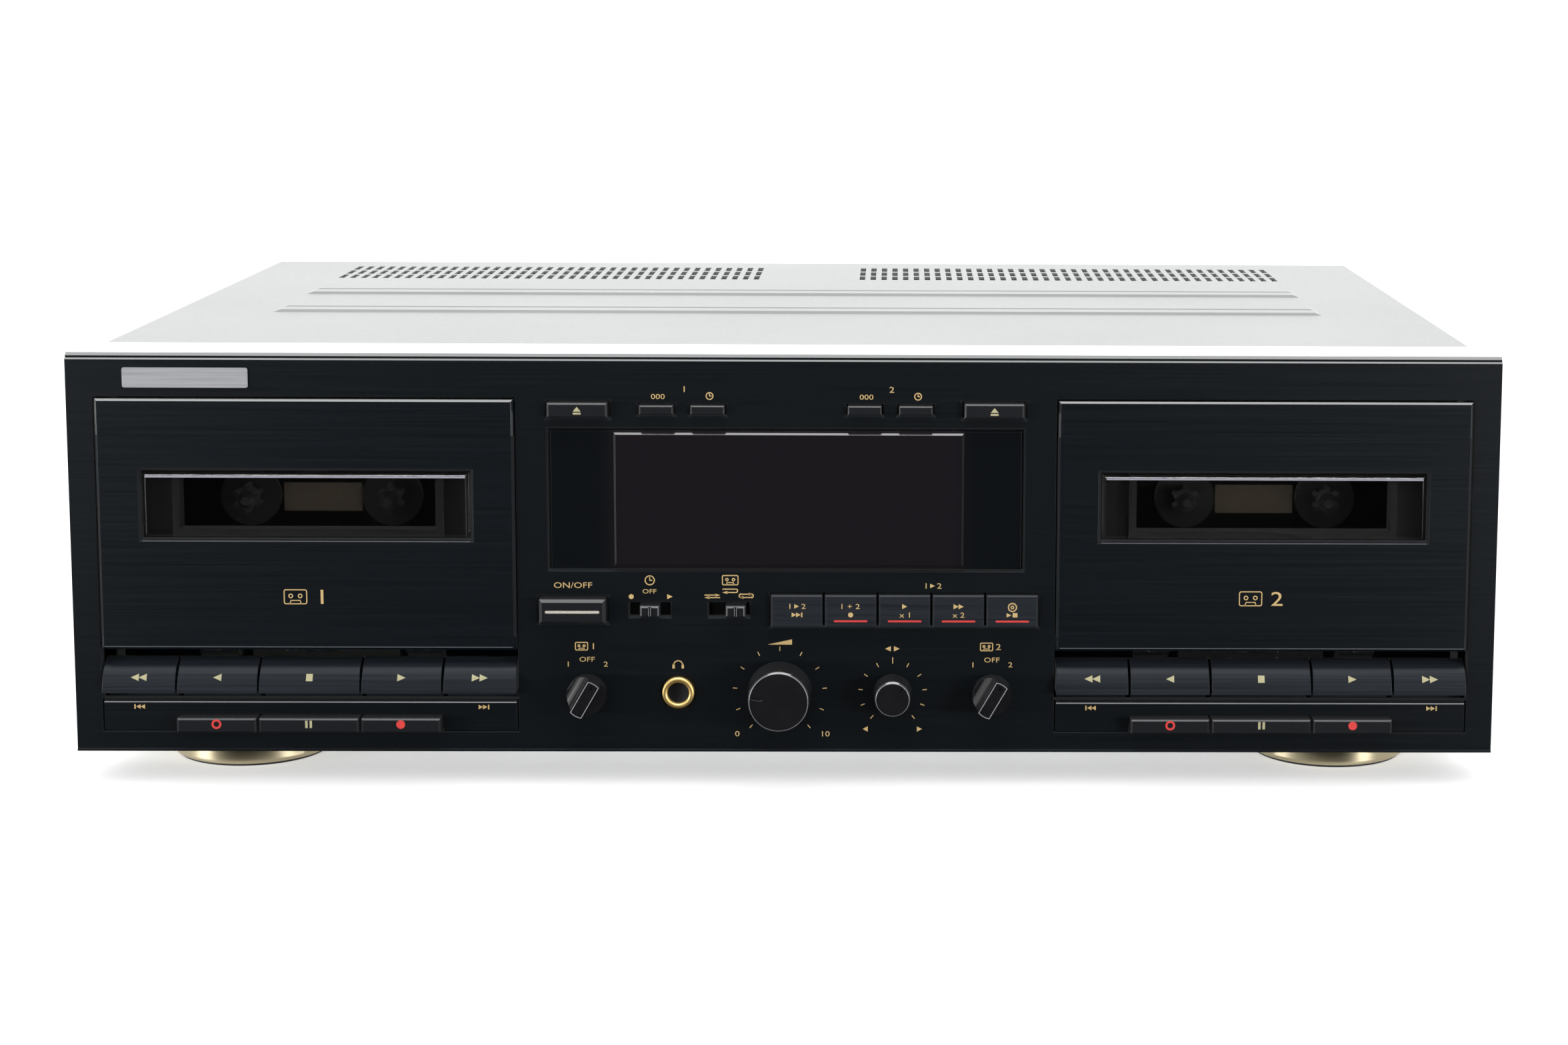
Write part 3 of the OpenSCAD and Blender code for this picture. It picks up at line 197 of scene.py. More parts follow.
def piece(name, bm, finish, body):
    """Makes an object of a finished mesh that moves with a body."""
    bmesh.ops.recalc_face_normals(bm, faces=bm.faces)
    mesh = bpy.data.meshes.new(name)
    bm.to_mesh(mesh)
    bm.free()
    mesh.materials.append(finish)
    made = bpy.data.objects.new(name, mesh)
    bpy.context.scene.collection.objects.link(made)
    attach(made, body)
    return made


def mottled(name, patch, dark, light, settings, rough=None, relief=None, detail=2.0):
    """Material that varies between two tones over patches of a size in millimetres. Where they are given,
    its roughness lies between two values, and its relief has a strength and a depth in millimetres."""
    made, tree, at = material(name)
    patches = add(tree, "ShaderNodeTexNoise", {
        "Vector": at, "Scale": 1 / (patch * MM), "Detail": detail})
    share = patches.outputs["Fac"]
    tone = add(tree, "ShaderNodeMix", {0: share, 6: linear(dark), 7: linear(light)}, data_type="RGBA")
    sockets = {"Base Color": tone.outputs[2], **settings}
    if rough:
        gloss = add(tree, "ShaderNodeMapRange", {"Value": share, "To Min": rough[0], "To Max": rough[1]})
        sockets["Roughness"] = gloss.outputs[0]
    if relief:
        bump = add(tree, "ShaderNodeBump", {
            "Height": share, "Strength": relief[0], "Distance": relief[1] * MM})
        sockets["Normal"] = bump.outputs[0]
    skin = add(tree, "ShaderNodeBsdfPrincipled", sockets)
    add(tree, "ShaderNodeOutputMaterial", {"Surface": skin.outputs[0]})
    return made


# Black passivated steel: nearly black, with a dull metallic gleam and slight clouding over about 12 mm
steel = mottled(
    "black_passivated_steel", 12, "#191a1c", "#292a2d", {"Metallic": 0.6}, rough=(0.35, 0.55), detail=3.0)
dress("mechanism_frames", steel, 0.2)

# Turned brass: warm yellow, with tool marks about 0.8 mm across, coarser than real ones so that they show
brass = mottled(
    "turned_brass", 0.8, "#ab8a4e", "#c4a363", {"Metallic": 1.0}, rough=(0.2, 0.36), detail=1.0)

# Polished steel: bright and nearly mirror-smooth, with faint wear marks about 2 mm long
polished, tree, at = material("polished_steel")
wear = add(tree, "ShaderNodeTexNoise", {"Vector": at, "Scale": 1 / (2 * MM), "Detail": 4.0})
rough = add(tree, "ShaderNodeMapRange", {"Value": wear.outputs["Fac"], "To Min": 0.14, "To Max": 0.34})
skin = add(tree, "ShaderNodeBsdfPrincipled", {
    "Base Color": linear("#b9b9b5"), "Metallic": 1.0, "Roughness": rough.outputs[0]})
add(tree, "ShaderNodeOutputMaterial", {"Surface": skin.outputs[0]})

# Moulded acetal: dark grey and slick, with a soft highlight and a grain of about 0.6 mm
acetal = mottled("moulded_dark_acetal", 0.6, "#4c4c4e", "#5c5c5f", {"IOR": 1.48}, rough=(0.14, 0.24))

# Amber polystyrene: brown and slightly glossy, mottled over about 1 mm
amber = mottled(
    "moulded_amber_polystyrene", 1, "#84796a", "#988d7d", {"Roughness": 0.3, "IOR": 1.55}, detail=3.0)

for deck, x in WELLS.items():
    dress(f"flywheel_{deck}", brass, 0.2)
    dress(f"head_base_{deck}", polished, 0.15)
    for side in ("left", "right"):
        dress(f"reel_spindle_{deck}_{side}", acetal, 0.15)
    bm = bmesh.new()
    pane = rounded_block(x - LIGHT_HALF, x + LIGHT_HALF, LIGHT_LOW, LIGHT_HIGH, LIGHT_CORNER)
    prism(bm, pane, FRAME_Y, LIGHT_PROUD)
    piece(f"tape_light_{deck}", bm, amber, "cabinet")

# Rear panel and sockets: a flat sheet with the line sockets' plate and the mains inlet set into it.
# Satin black paint over steel; moulded black socket bodies with nickel shells and coloured collars.
SOCKET_AT, SOCKET_STEP = (-130.0, 60.0), (9.0, 8.0)
COLLAR_IN, COLLAR_OUT, COLLAR_T, COLLAR_CUT = 4.2, 6.2, 1.0, 0.3
PLATE_Y, PLATE_SKIN = 280.75, 0.02
NICKEL_ROUGH = 0.22


def turned(bm, profile, centre, axis, count=64):
    """Ring turned about an axis through a centre, from a closed profile of radius
    and distance along the axis in millimetres."""
    to_axis = Vector((0, 0, 1)).rotation_difference(Vector(axis)).to_matrix()
    rows = []
    for i in range(count):
        a = 2 * math.pi * i / count
        points = [Vector((r * math.cos(a), r * math.sin(a), h)) for r, h in profile]
        rows.append([bm.verts.new(centre + to_axis @ p * MM) for p in points])
    for i in range(count):
        for j in range(len(profile)):
            bm.faces.new((rows[i - 1][j - 1], rows[i - 1][j], rows[i][j], rows[i][j - 1]))


# Satin black paint: dark and even, with an orange peel about 1.2 mm across that softens highlights
rear_paint, tree, at = material("satin_black_paint_on_steel")
peel = add(tree, "ShaderNodeTexNoise", {"Vector": at, "Scale": 1 / (1.2 * MM), "Detail": 2.0})
bump = add(tree, "ShaderNodeBump", {
    "Height": peel.outputs["Fac"], "Strength": 0.25, "Distance": 0.04 * MM})
rough = add(tree, "ShaderNodeMapRange", {"Value": peel.outputs["Fac"], "To Min": 0.42, "To Max": 0.56})
skin = add(tree, "ShaderNodeBsdfPrincipled", {
    "Base Color": linear("#1b1b1d"), "Roughness": rough.outputs[0], "IOR": 1.5, "Normal": bump.outputs[0]})
add(tree, "ShaderNodeOutputMaterial", {"Surface": skin.outputs[0]})
dress("rear_panel", rear_paint, 0.2)

# Black ABS up to the plate's face and bright nickel beyond it; the grain of the black is about 0.5 mm
sockets, tree, at = material("moulded_abs_with_nickel_shells")
axes = add(tree, "ShaderNodeSeparateXYZ", {0: at})
shell = add(tree, "ShaderNodeMath", {
    0: axes.outputs["Y"], 1: spot(0, PLATE_Y + PLATE_SKIN, 0).y}, operation="GREATER_THAN")
grain = add(tree, "ShaderNodeTexNoise", {"Vector": at, "Scale": 1 / (0.5 * MM), "Detail": 2.0})
tone = add(tree, "ShaderNodeMix", {
    0: shell.outputs[0], 6: linear("#151517"), 7: linear("#c6c4bc")}, data_type="RGBA")
matt = add(tree, "ShaderNodeMapRange", {"Value": grain.outputs["Fac"], "To Min": 0.4, "To Max": 0.58})
rough = add(tree, "ShaderNodeMix", {0: shell.outputs[0], 2: matt.outputs[0], 3: NICKEL_ROUGH})
skin = add(tree, "ShaderNodeBsdfPrincipled", {
    "Base Color": tone.outputs[2], "Metallic": shell.outputs[0], "Roughness": rough.outputs[0]})
add(tree, "ShaderNodeOutputMaterial", {"Surface": skin.outputs[0]})
dress("rear_sockets", sockets, 0.2)

# Moulded polypropylene, white in the upper row and red in the lower one: slightly waxy, grained at 0.8 mm
for side, code, row in (("left", "#d9d7d0", 1), ("right", "#a3211d", -1)):
    collar, tree, at = material(f"moulded_polypropylene_{side}")
    grain = add(tree, "ShaderNodeTexNoise", {"Vector": at, "Scale": 1 / (0.8 * MM)})
    rough = add(tree, "ShaderNodeMapRange", {"Value": grain.outputs["Fac"], "To Min": 0.32, "To Max": 0.46})
    skin = add(tree, "ShaderNodeBsdfPrincipled", {
        "Base Color": linear(code), "Roughness": rough.outputs[0], "IOR": 1.49})
    add(tree, "ShaderNodeOutputMaterial", {"Surface": skin.outputs[0]})
    section = [(COLLAR_IN, 0), (COLLAR_OUT, 0), (COLLAR_OUT, COLLAR_T - COLLAR_CUT),
               (COLLAR_OUT - COLLAR_CUT, COLLAR_T), (COLLAR_IN, COLLAR_T)]
    bm = bmesh.new()
    for k in (-1, 1):
        x, z = SOCKET_AT[0] + k * SOCKET_STEP[0], SOCKET_AT[1] + row * SOCKET_STEP[1]
        turned(bm, section, spot(x, PLATE_Y, z), (0, 1, 0))
    piece(f"socket_collars_{side}", bm, collar, "cabinet")

# Front panel: one bezel with every opening, faced with brushed black metal, with marks printed in gold.
# It slides over the chassis pan and is held by four lugs from below.
# A blank plate sits at the top left, and a bright line, a painted highlight, edges the strip below each row
# of keys.
CUT_ROUGH, BROKEN_ROUGH = 0.14, 0.95
STROKE_L = 70


def brushed(name, dark, light, rough, line, turn, gleam, low, high):
    """Brushed black-dyed metal: scratches along the width, line mm apart so that they show.
    Faces turned aside are cut smooth, apart from those between the heights low and high."""
    made, tree, at = material(name)
    drawn = add(tree, "ShaderNodeMapping", {
        "Vector": at, "Scale": (1 / (STROKE_L * MM), 1 / (line * MM), 1 / (line * MM))})
    scratches = add(tree, "ShaderNodeTexNoise", {
        "Vector": drawn.outputs[0], "Scale": 1.0, "Detail": 3.0, "Roughness": 0.6})
    tone = add(tree, "ShaderNodeMix", {
        0: scratches.outputs["Fac"], 6: linear(dark), 7: linear(light)}, data_type="RGBA")
    gloss = add(tree, "ShaderNodeMapRange", {
        "Value": scratches.outputs["Fac"], "To Min": rough - 0.08, "To Max": rough + 0.08})
    ahead = add(tree, "ShaderNodeSeparateXYZ", {0: at.node.outputs["Normal"]})
    flat = add(tree, "ShaderNodeMapRange", {
        "Value": ahead.outputs["Y"], "From Min": -turn, "From Max": -turn - 0.1})
    place = add(tree, "ShaderNodeSeparateXYZ", {0: at})
    dull = add(tree, "ShaderNodeMath", {
        0: place.outputs["Z"], 1: spot(0, 0, (low + high) / 2).z, 2: (high - low) / 2 * MM},
        operation="COMPARE")
    edges = add(tree, "ShaderNodeMix", {0: dull.outputs[0], 2: CUT_ROUGH, 3: BROKEN_ROUGH})
    finish = add(tree, "ShaderNodeMix", {0: flat.outputs[0], 2: edges.outputs[0], 3: gloss.outputs[0]})
    bump = add(tree, "ShaderNodeBump", {
        "Height": scratches.outputs["Fac"], "Strength": 0.2, "Distance": 0.02 * MM})
    skin = add(tree, "ShaderNodeBsdfPrincipled", {
        "Base Color": tone.outputs[2], "Roughness": finish.outputs[0], "IOR": 1.5,
        "Normal": bump.outputs[0], "Specular IOR Level": gleam})
    add(tree, "ShaderNodeOutputMaterial", {"Surface": skin.outputs[0]})
    return made


# Anodised aluminium: a deep blue-black with a soft sheen along the brushing and a bright cut top edge
panel_black = brushed(
    "brushed_black_anodised_aluminium", "#03070a", "#080d12",
    rough=0.36, line=0.5, turn=0.85, gleam=0.33, low=0, high=112)
dress("front_panel", panel_black, 0.15)


def ink(name, thin, full):
    """Screen-printed ink between two tones: dull on the gloss of the panel, with an uneven deposit
    about 0.4 mm across."""
    return mottled(name, 0.4, thin, full, {"Roughness": 0.5, "IOR": 1.45})


FACE_Y = 0.0
STROKE = 0.3
LETTER_WIDE = 1.3
DOUBLE = 0.001
gold_ink = ink("screen_printed_gold_ink", "#8a7346", "#a78e60")


def band(bm, line, width, y, closed=False, proud=INK):
    """Stroke of even width along a line of points."""
    count = len(line)
    left, right = [], []
    for i in range(count):
        here = Vector(line[i])
        runs = []
        if closed or i:
            runs.append((here - Vector(line[i - 1])).normalized())
        if closed or i < count - 1:
            runs.append((Vector(line[(i + 1) % count]) - here).normalized())
        way = sum(runs, Vector((0, 0))).normalized()
        across = Vector((-way.y, way.x)) * width / 2 / max(0.4, way.dot(runs[0]))
        left.append(here + across)
        right.append(here - across)
    if not closed:
        prism(bm, left + right[::-1], y, proud)
        return
    depths = (y - proud, y + proud / 2)
    loops = [[bm.verts.new(spot(p.x, d, p.y)) for p in side] for d in depths for side in (left, right)]
    for a, b in ((0, 1), (1, 3), (3, 2), (2, 0)):
        for i in range(count):
            bm.faces.new((loops[a][i - 1], loops[a][i], loops[b][i], loops[b][i - 1]))


def circle(x, z, r, count=24):
    """Outline of a circle."""
    return arc(x, z, r, 0, 360 - 360 / count, count)


def ring(bm, x, z, r, width, y):
    """Printed circle."""
    band(bm, circle(x, z, r), width, y, closed=True)


def triangle(bm, x, z, w, h, y):
    """Printed arrow head, pointing right, or left where w is negative."""
    prism(bm, [(x - w / 2, z - h / 2), (x + w / 2, z), (x - w / 2, z + h / 2)], y)


def bar(bm, x, z, w, h, y):
    """Printed rectangle."""
    x0, x1, z0, z1 = x - w / 2, x + w / 2, z - h / 2, z + h / 2
    prism(bm, [(x0, z0), (x1, z0), (x1, z1), (x0, z1)], y)


def glyphs(bm, words, x, z, height, y):
    """Numbers or words printed around a point, with a height in millimetres."""
    curve = bpy.data.curves.new("ink", "FONT")
    curve.body = words
    curve.extrude = 0.5
    curve.resolution_u = 3
    holder = bpy.data.objects.new("ink", curve)
    bpy.context.scene.collection.objects.link(holder)
    bpy.context.view_layer.update()
    drawn = holder.evaluated_get(bpy.context.evaluated_depsgraph_get())
    mesh = bpy.data.meshes.new_from_object(drawn)
    bpy.data.objects.remove(holder)
    bpy.data.curves.remove(curve)
    across = [v.co.x for v in mesh.vertices]
    up = [v.co.y for v in mesh.vertices]
    k = height / (max(up) - min(up))
    first = len(bm.verts)
    bm.from_mesh(mesh)
    bpy.data.meshes.remove(mesh)
    bm.verts.ensure_lookup_table()
    for v in bm.verts[first:]:
        v.co = spot(
            x + (v.co.x - (max(across) + min(across)) / 2) * k * LETTER_WIDE,
            y - INK if v.co.z > 0 else y + INK / 2,
            z + (v.co.y - (max(up) + min(up)) / 2) * k)


def clock(bm, x, z, r, y):
    """Printed clock face with two hands."""
    ring(bm, x, z, r - STROKE / 2, STROKE, y)
    band(bm, [(x, z + r * 0.62), (x, z), (x + r * 0.5, z)], 0.28, y)


def cassette(bm, x, z, w, h, y):
    """Printed outline of a cassette with its two hubs and its foot."""
    case = rounded_block(x - w / 2, x + w / 2, z - h / 2, z + h / 2, h * 0.12)
    band(bm, case, STROKE, y, closed=True)
    for k in (-1, 1):
        ring(bm, x + k * w * 0.21, z + h * 0.06, h * 0.13, STROKE, y)
    foot = [(x + k * w * share, z + h * up) for k, share, up in (
        (-1, 0.26, -0.5), (-1, 0.2, -0.26), (1, 0.2, -0.26), (1, 0.26, -0.5))]
    band(bm, foot, 0.25, y)


bm = bmesh.new()

# Counter buttons: a deck number, three noughts over the reset button and a clock over the time button
NUMBER_Z, NOUGHTS_Z, CLOCK_Z = 108.9, 106.7, 106.9
for deck, (number_x, reset_x, time_x) in {1: (-29.8, -37.5, -22.4), 2: (30.9, 23.5, 38.6)}.items():
    glyphs(bm, str(deck), number_x, NUMBER_Z, 1.7, FACE_Y)
    glyphs(bm, "000", reset_x, NOUGHTS_Z, 1.5, FACE_Y)
    clock(bm, time_x, CLOCK_Z, 1.15, FACE_Y)

# Power button: on and off; timer switch: a clock over a dot, off and an arrow head
POWER_X, TIMER_X = -62.9, -40.3
TIMER_Z = 47.0
glyphs(bm, "ON/OFF", POWER_X, TIMER_Z + 3.4, 1.7, FACE_Y)
clock(bm, TIMER_X, TIMER_Z + 4.9, 1.5, FACE_Y)
glyphs(bm, "OFF", TIMER_X - 0.1, TIMER_Z + 1.6, 1.3, FACE_Y)
prism(bm, circle(TIMER_X - 5.5, TIMER_Z, 0.75, 16), FACE_Y)
triangle(bm, TIMER_X + 5.9, TIMER_Z, 1.6, 1.5, FACE_Y)

# Reverse switch: a cassette over three signs, for one side, for both sides once and for both over and over
ONE_SIDE, BOTH_SIDES, ENDLESS = (-21.9, 47.125), (-16.9, 48.8), (-11.9, 47.3)
BEND, HEAD_H = 0.5, 0.85
cassette(bm, -16.6, 52, 4.6, 2.8, FACE_Y)
x, middle = ONE_SIDE
for k in (1, -1):
    z = middle + k * 0.375
    band(bm, [(x - k * 2.3, z), (x + k * 1.2, z)], STROKE, FACE_Y)
    triangle(bm, x + k * 1.6, z, k * 1.5, HEAD_H, FACE_Y)
x, z = BOTH_SIDES
hook = [(x - 2, z + BEND), (x + 2, z + BEND)] + arc(x + 2, z, BEND, 30, 180, 6) + [(x - 0.7, z - BEND)]
band(bm, hook, STROKE, FACE_Y)
triangle(bm, x - 1.3, z - BEND, -1.5, HEAD_H, FACE_Y)
x, z = ENDLESS
half_loop = [(1.6, BEND), (-1.6, BEND)] + arc(-1.6, 0, BEND, 0, -150, 6)
for k in (-1, 1):
    band(bm, [(x + k * dx, z + k * dz) for dx, dz in half_loop], STROKE, FACE_Y)
    triangle(bm, x + k * 1.5, z + k * BEND, k * 1.4, HEAD_H, FACE_Y)

# Copy buttons: one to two
COPY_X, COPY_Z = 43.1, 50.4
glyphs(bm, "1", COPY_X - 1.9, COPY_Z, 1.6, FACE_Y)
triangle(bm, COPY_X, COPY_Z, 1.4, 1.3, FACE_Y)
glyphs(bm, "2", COPY_X + 2, COPY_Z, 1.6, FACE_Y)

# Selectors: a cassette and the number of the deck, with one, off and two round each knob
DECK_Z, OFF_Z, ONE_Z, TWO_Z = 32.0, 28.05, 26.55, 26.6
for deck, x in {1: -59.0, 2: 60.8}.items():
    cassette(bm, x - 1.6, DECK_Z, 3.6, 2.3, FACE_Y)
    glyphs(bm, str(deck), x + 1.9, DECK_Z, 1.8, FACE_Y)
    glyphs(bm, "OFF", x, OFF_Z, 1.45, FACE_Y)
    glyphs(bm, "1", x - 5.6, ONE_Z, 1.5, FACE_Y)
    glyphs(bm, "2", x + 5.5, TWO_Z, 1.5, FACE_Y)

# Phones jack: a pair of earpieces on a bow
JACK_AT = (-32.1, 18.0)
BOW_Z, BOW_R = 26.3, 1.35
band(bm, arc(JACK_AT[0], BOW_Z, BOW_R, -90, 90, 13), STROKE, FACE_Y)
for k in (-1, 1):
    bar(bm, JACK_AT[0] + k * BOW_R, BOW_Z - 0.4, 0.7, 1.2, FACE_Y)

# Level dial: a rising wedge, eleven ticks, nought and ten; balance dial: two arrow heads, eleven ticks
# and an arrow head at each end
LEVEL_AT, BALANCE_AT = (-2.0, 18.0), (31.4, 18.0)
WEDGE_HALF, WEDGE_LOW, WEDGE_HIGH = 3.6, 32.6, 34.2
TICKS, TICK_START, TICK_STEP, TICK_L, TICK_W = 11, -140, 28, 1.3, 0.26
left, right = LEVEL_AT[0] - WEDGE_HALF, LEVEL_AT[0] + WEDGE_HALF
prism(bm, [(left, WEDGE_LOW), (right, WEDGE_LOW), (right, WEDGE_HIGH)], FACE_Y)
for k in (-1, 1):
    triangle(bm, BALANCE_AT[0] - 0.1 + k * 1.3, 31.4, k * 1.7, 1.6, FACE_Y)
    triangle(bm, BALANCE_AT[0] - 0.05 + k * 8.05, 7, k * 1.5, 1.6, FACE_Y)
for (x, z), r0, extra in ((LEVEL_AT, 12.7, 0), (BALANCE_AT, 8.9, 0.6)):
    for i in range(TICKS):
        a = math.radians(TICK_START + TICK_STEP * i)
        r1 = r0 + TICK_L + (extra if i == TICKS // 2 else 0)
        band(bm, [(x + r * math.sin(a), z + r * math.cos(a)) for r in (r0, r1)], TICK_W, FACE_Y)
for number, x in (("0", -14.7), ("10", 11.6)):
    glyphs(bm, number, x, 5.5, 1.6, FACE_Y)

# Strips below the keys: search marks beside the lower keys
SEARCH_Z, SEARCH_H = 13.5, 1.4
for x in WELLS.values():
    for k, middle in ((-1, x - 50.2), (1, x + 50.8)):
        bar(bm, middle + k * 1.7, SEARCH_Z, 0.4, SEARCH_H, FACE_Y)
        triangle(bm, middle + k * 0.7, SEARCH_Z, k * 1.3, SEARCH_H, FACE_Y)
        triangle(bm, middle - k * 0.6, SEARCH_Z, k * 1.3, SEARCH_H, FACE_Y)
bmesh.ops.remove_doubles(bm, verts=bm.verts, dist=DOUBLE * MM)
piece("panel_print", bm, gold_ink, "cabinet")

# Brushed aluminium plate: pale grey with streaks along it, drawn 0.4 mm apart, and a soft gleam;
# the same pale metal also paints highlights on the key strips' edges, the slide switches and the selector
# bars
plate_metal_and_highlights, tree, at = material("brushed_aluminium_and_painted_highlights")
drawn = add(tree, "ShaderNodeMapping", {
    "Vector": at, "Scale": (1 / (30 * MM), 1 / (0.4 * MM), 1 / (0.4 * MM))})
streaks = add(tree, "ShaderNodeTexNoise", {"Vector": drawn.outputs[0], "Scale": 1.0, "Detail": 3.0})
tone = add(tree, "ShaderNodeMix", {
    0: streaks.outputs["Fac"], 6: linear("#6d6e70"), 7: linear("#96979a")}, data_type="RGBA")
rough = add(tree, "ShaderNodeMapRange", {"Value": streaks.outputs["Fac"], "To Min": 0.4, "To Max": 0.55})
skin = add(tree, "ShaderNodeBsdfPrincipled", {
    "Base Color": tone.outputs[2], "Metallic": 0.35, "Roughness": rough.outputs[0]})
add(tree, "ShaderNodeOutputMaterial", {"Surface": skin.outputs[0]})
BADGE = (-193.4, -156.9, 108.9, 114.8)
BADGE_CORNER, BADGE_PROUD = 0.6, 0.3
bm = bmesh.new()
prism(bm, rounded_block(*BADGE, BADGE_CORNER), FACE_Y, BADGE_PROUD)
piece("blank_plate", bm, plate_metal_and_highlights, "cabinet")
# Strip lines: thin bars of the plate's pale metal, painted highlights where light would catch the strip's
# top edge
STRIP_HALF, STRIP_TOP, STRIP_LINE = 60.8, 15.1, 0.32
for deck, x in WELLS.items():
    bm = bmesh.new()
    bar(bm, x, STRIP_TOP - STRIP_LINE / 2, 2 * STRIP_HALF, STRIP_LINE, FACE_Y)
    piece(f"strip_highlight_{deck}", bm, plate_metal_and_highlights, "cabinet")

# Phones jack: a moulded body behind the panel with a rounded gold ring round its hole.
# Gold-plated brass ring, pressed into the panel from behind.
JACK_HOLE, JACK_RING, JACK_SWELL, JACK_BACK = 3.2, 4.75, 0.7, 0.3
JACK_INSIDE = 0.7

# Gold plating: bright and warm, with plug marks about 1 mm long that dull it in places; black inside
gold, tree, at = material("gold_plated_brass")
marks = add(tree, "ShaderNodeTexNoise", {"Vector": at, "Scale": 1 / MM, "Detail": 3.0})
rough = add(tree, "ShaderNodeMapRange", {"Value": marks.outputs["Fac"], "To Min": 0.42, "To Max": 0.52})
axes = add(tree, "ShaderNodeSeparateXYZ", {0: at})
inside = add(tree, "ShaderNodeMath", {
    0: axes.outputs["Y"], 1: spot(0, JACK_INSIDE, 0).y}, operation="GREATER_THAN")
tone = add(tree, "ShaderNodeMix", {
    0: inside.outputs[0], 6: linear("#f0cf86"), 7: linear("#0a0a0b")}, data_type="RGBA")
plated = add(tree, "ShaderNodeMath", {0: 1.0, 1: inside.outputs[0]}, operation="SUBTRACT")
skin = add(tree, "ShaderNodeBsdfPrincipled", {
    "Base Color": tone.outputs[2], "Metallic": plated.outputs[0], "Roughness": rough.outputs[0]})
add(tree, "ShaderNodeOutputMaterial", {"Surface": skin.outputs[0]})
dress("phones_jack", gold, 0.2)
half = (JACK_RING - JACK_HOLE) / 2
swell = [(JACK_HOLE + half + u, JACK_SWELL + v * 0.8) for u, v in arc(0, 0, half, -90, 90, 13)]
bm = bmesh.new()
turned(bm, swell + [(JACK_RING, JACK_BACK), (JACK_HOLE, JACK_BACK)],
       spot(JACK_AT[0], FACE_Y, JACK_AT[1]), (0, -1, 0), 96)
piece("jack_ring", bm, gold, "cabinet")

# Display window: a smoked pane with a thicker lens in the middle, over the display tube.
# Cast acrylic with polished faces, snapped into its recess from the front.
LENS_IN, LENS_OUT = 48, 56

# Smoked acrylic: near black and mirror-smooth, a little warmer where the lens is thick,
# with faint wipe marks about 15 mm across
smoked, tree, at = material("polished_smoked_acrylic")
axes = add(tree, "ShaderNodeSeparateXYZ", {0: at})
sides = [add(tree, "ShaderNodeMapRange", {
    "Value": axes.outputs["X"], "From Min": k * LENS_OUT * MM, "From Max": k * LENS_IN * MM},
    interpolation_type="SMOOTHSTEP") for k in (-1, 1)]
lens = add(tree, "ShaderNodeMath", {0: sides[0].outputs[0], 1: sides[1].outputs[0]}, operation="MULTIPLY")
wipes = add(tree, "ShaderNodeTexNoise", {"Vector": at, "Scale": 1 / (15 * MM), "Detail": 4.0})
rough = add(tree, "ShaderNodeMapRange", {"Value": wipes.outputs["Fac"], "To Min": 0.05, "To Max": 0.16})
tone = add(tree, "ShaderNodeMix", {
    0: lens.outputs[0], 6: linear("#080a0c"), 7: linear("#110f12")}, data_type="RGBA")
skin = add(tree, "ShaderNodeBsdfPrincipled", {
    "Base Color": tone.outputs[2], "Roughness": rough.outputs[0], "IOR": 1.49, "Specular IOR Level": 0.3})
add(tree, "ShaderNodeOutputMaterial", {"Surface": skin.outputs[0]})
dress("display_window", smoked, 0.12)

# Cassette doors: a brushed plate with a flared window, a smoked pane and a moulded holder behind,
# on two pivots, with the deck's number printed below the window.
# The plate is brushed black aluminium, the pane is acrylic, and the holder is black ABS.
DOOR_Y, DOOR_MARK_Z = -0.8, 46.9
DOOR_LOW, DOOR_HALF, DOOR_LINE = 31.7, 60.0, 0.2
FLARE_LOW, FLARE_HALF = 63.6, 48.0
PANE_Y, PANE_Z, PANE_W, PANE_H, PANE_CUT, PANE_LINE = -0.7, 74.25, 95.2, 19.2, 0.9, 0.55

# Anodised door plate: the same blue-black as the panel, a little glossier
door_black = brushed(
    "brushed_black_anodised_door_plate", "#03070a", "#080d13",
    rough=0.34, line=0.5, turn=0.85, gleam=0.36, low=35, high=95)

# Smoked clear acrylic: see-through and dim, with a polished face and light hand marks about 20 mm across
window, tree, at = material("smoked_clear_acrylic")
smears = add(tree, "ShaderNodeTexNoise", {"Vector": at, "Scale": 1 / (20 * MM), "Detail": 4.0})
rough = add(tree, "ShaderNodeMapRange", {"Value": smears.outputs["Fac"], "To Min": 0.01, "To Max": 0.06})
skin = add(tree, "ShaderNodeBsdfPrincipled", {
    "Base Color": linear("#d9d7d4"), "Roughness": rough.outputs[0], "IOR": 1.49, "Transmission Weight": 1.0})
add(tree, "ShaderNodeOutputMaterial", {"Surface": skin.outputs[0]})

# Moulded black ABS: matt, with a spark-eroded grain; the grain is drawn at 0.4 mm so that it shows
abs_black = mottled(
    "moulded_black_abs", 0.4, "#2b2b30", "#38383e", {"IOR": 1.53}, rough=(0.4, 0.6), relief=(0.3, 0.03))

# Pane's top line: pale grey and frosted over about 1 mm, a painted highlight where light catches the top
# chamfer
pane_top_highlight = mottled("painted_highlight_acrylic_edge", 1, "#66656f", "#7c7a86", {"Roughness": 0.4, "IOR": 1.49})

# Door edge lines: a fine grey painted reflection of the floor on the lower bevels, dulled in places about 1
# mm long
edge_reflection_grey = mottled(
    "painted_reflection_on_door_edges", 1, "#4c4c52", "#5e5e65", {"Metallic": 0.35}, rough=(0.36, 0.5))

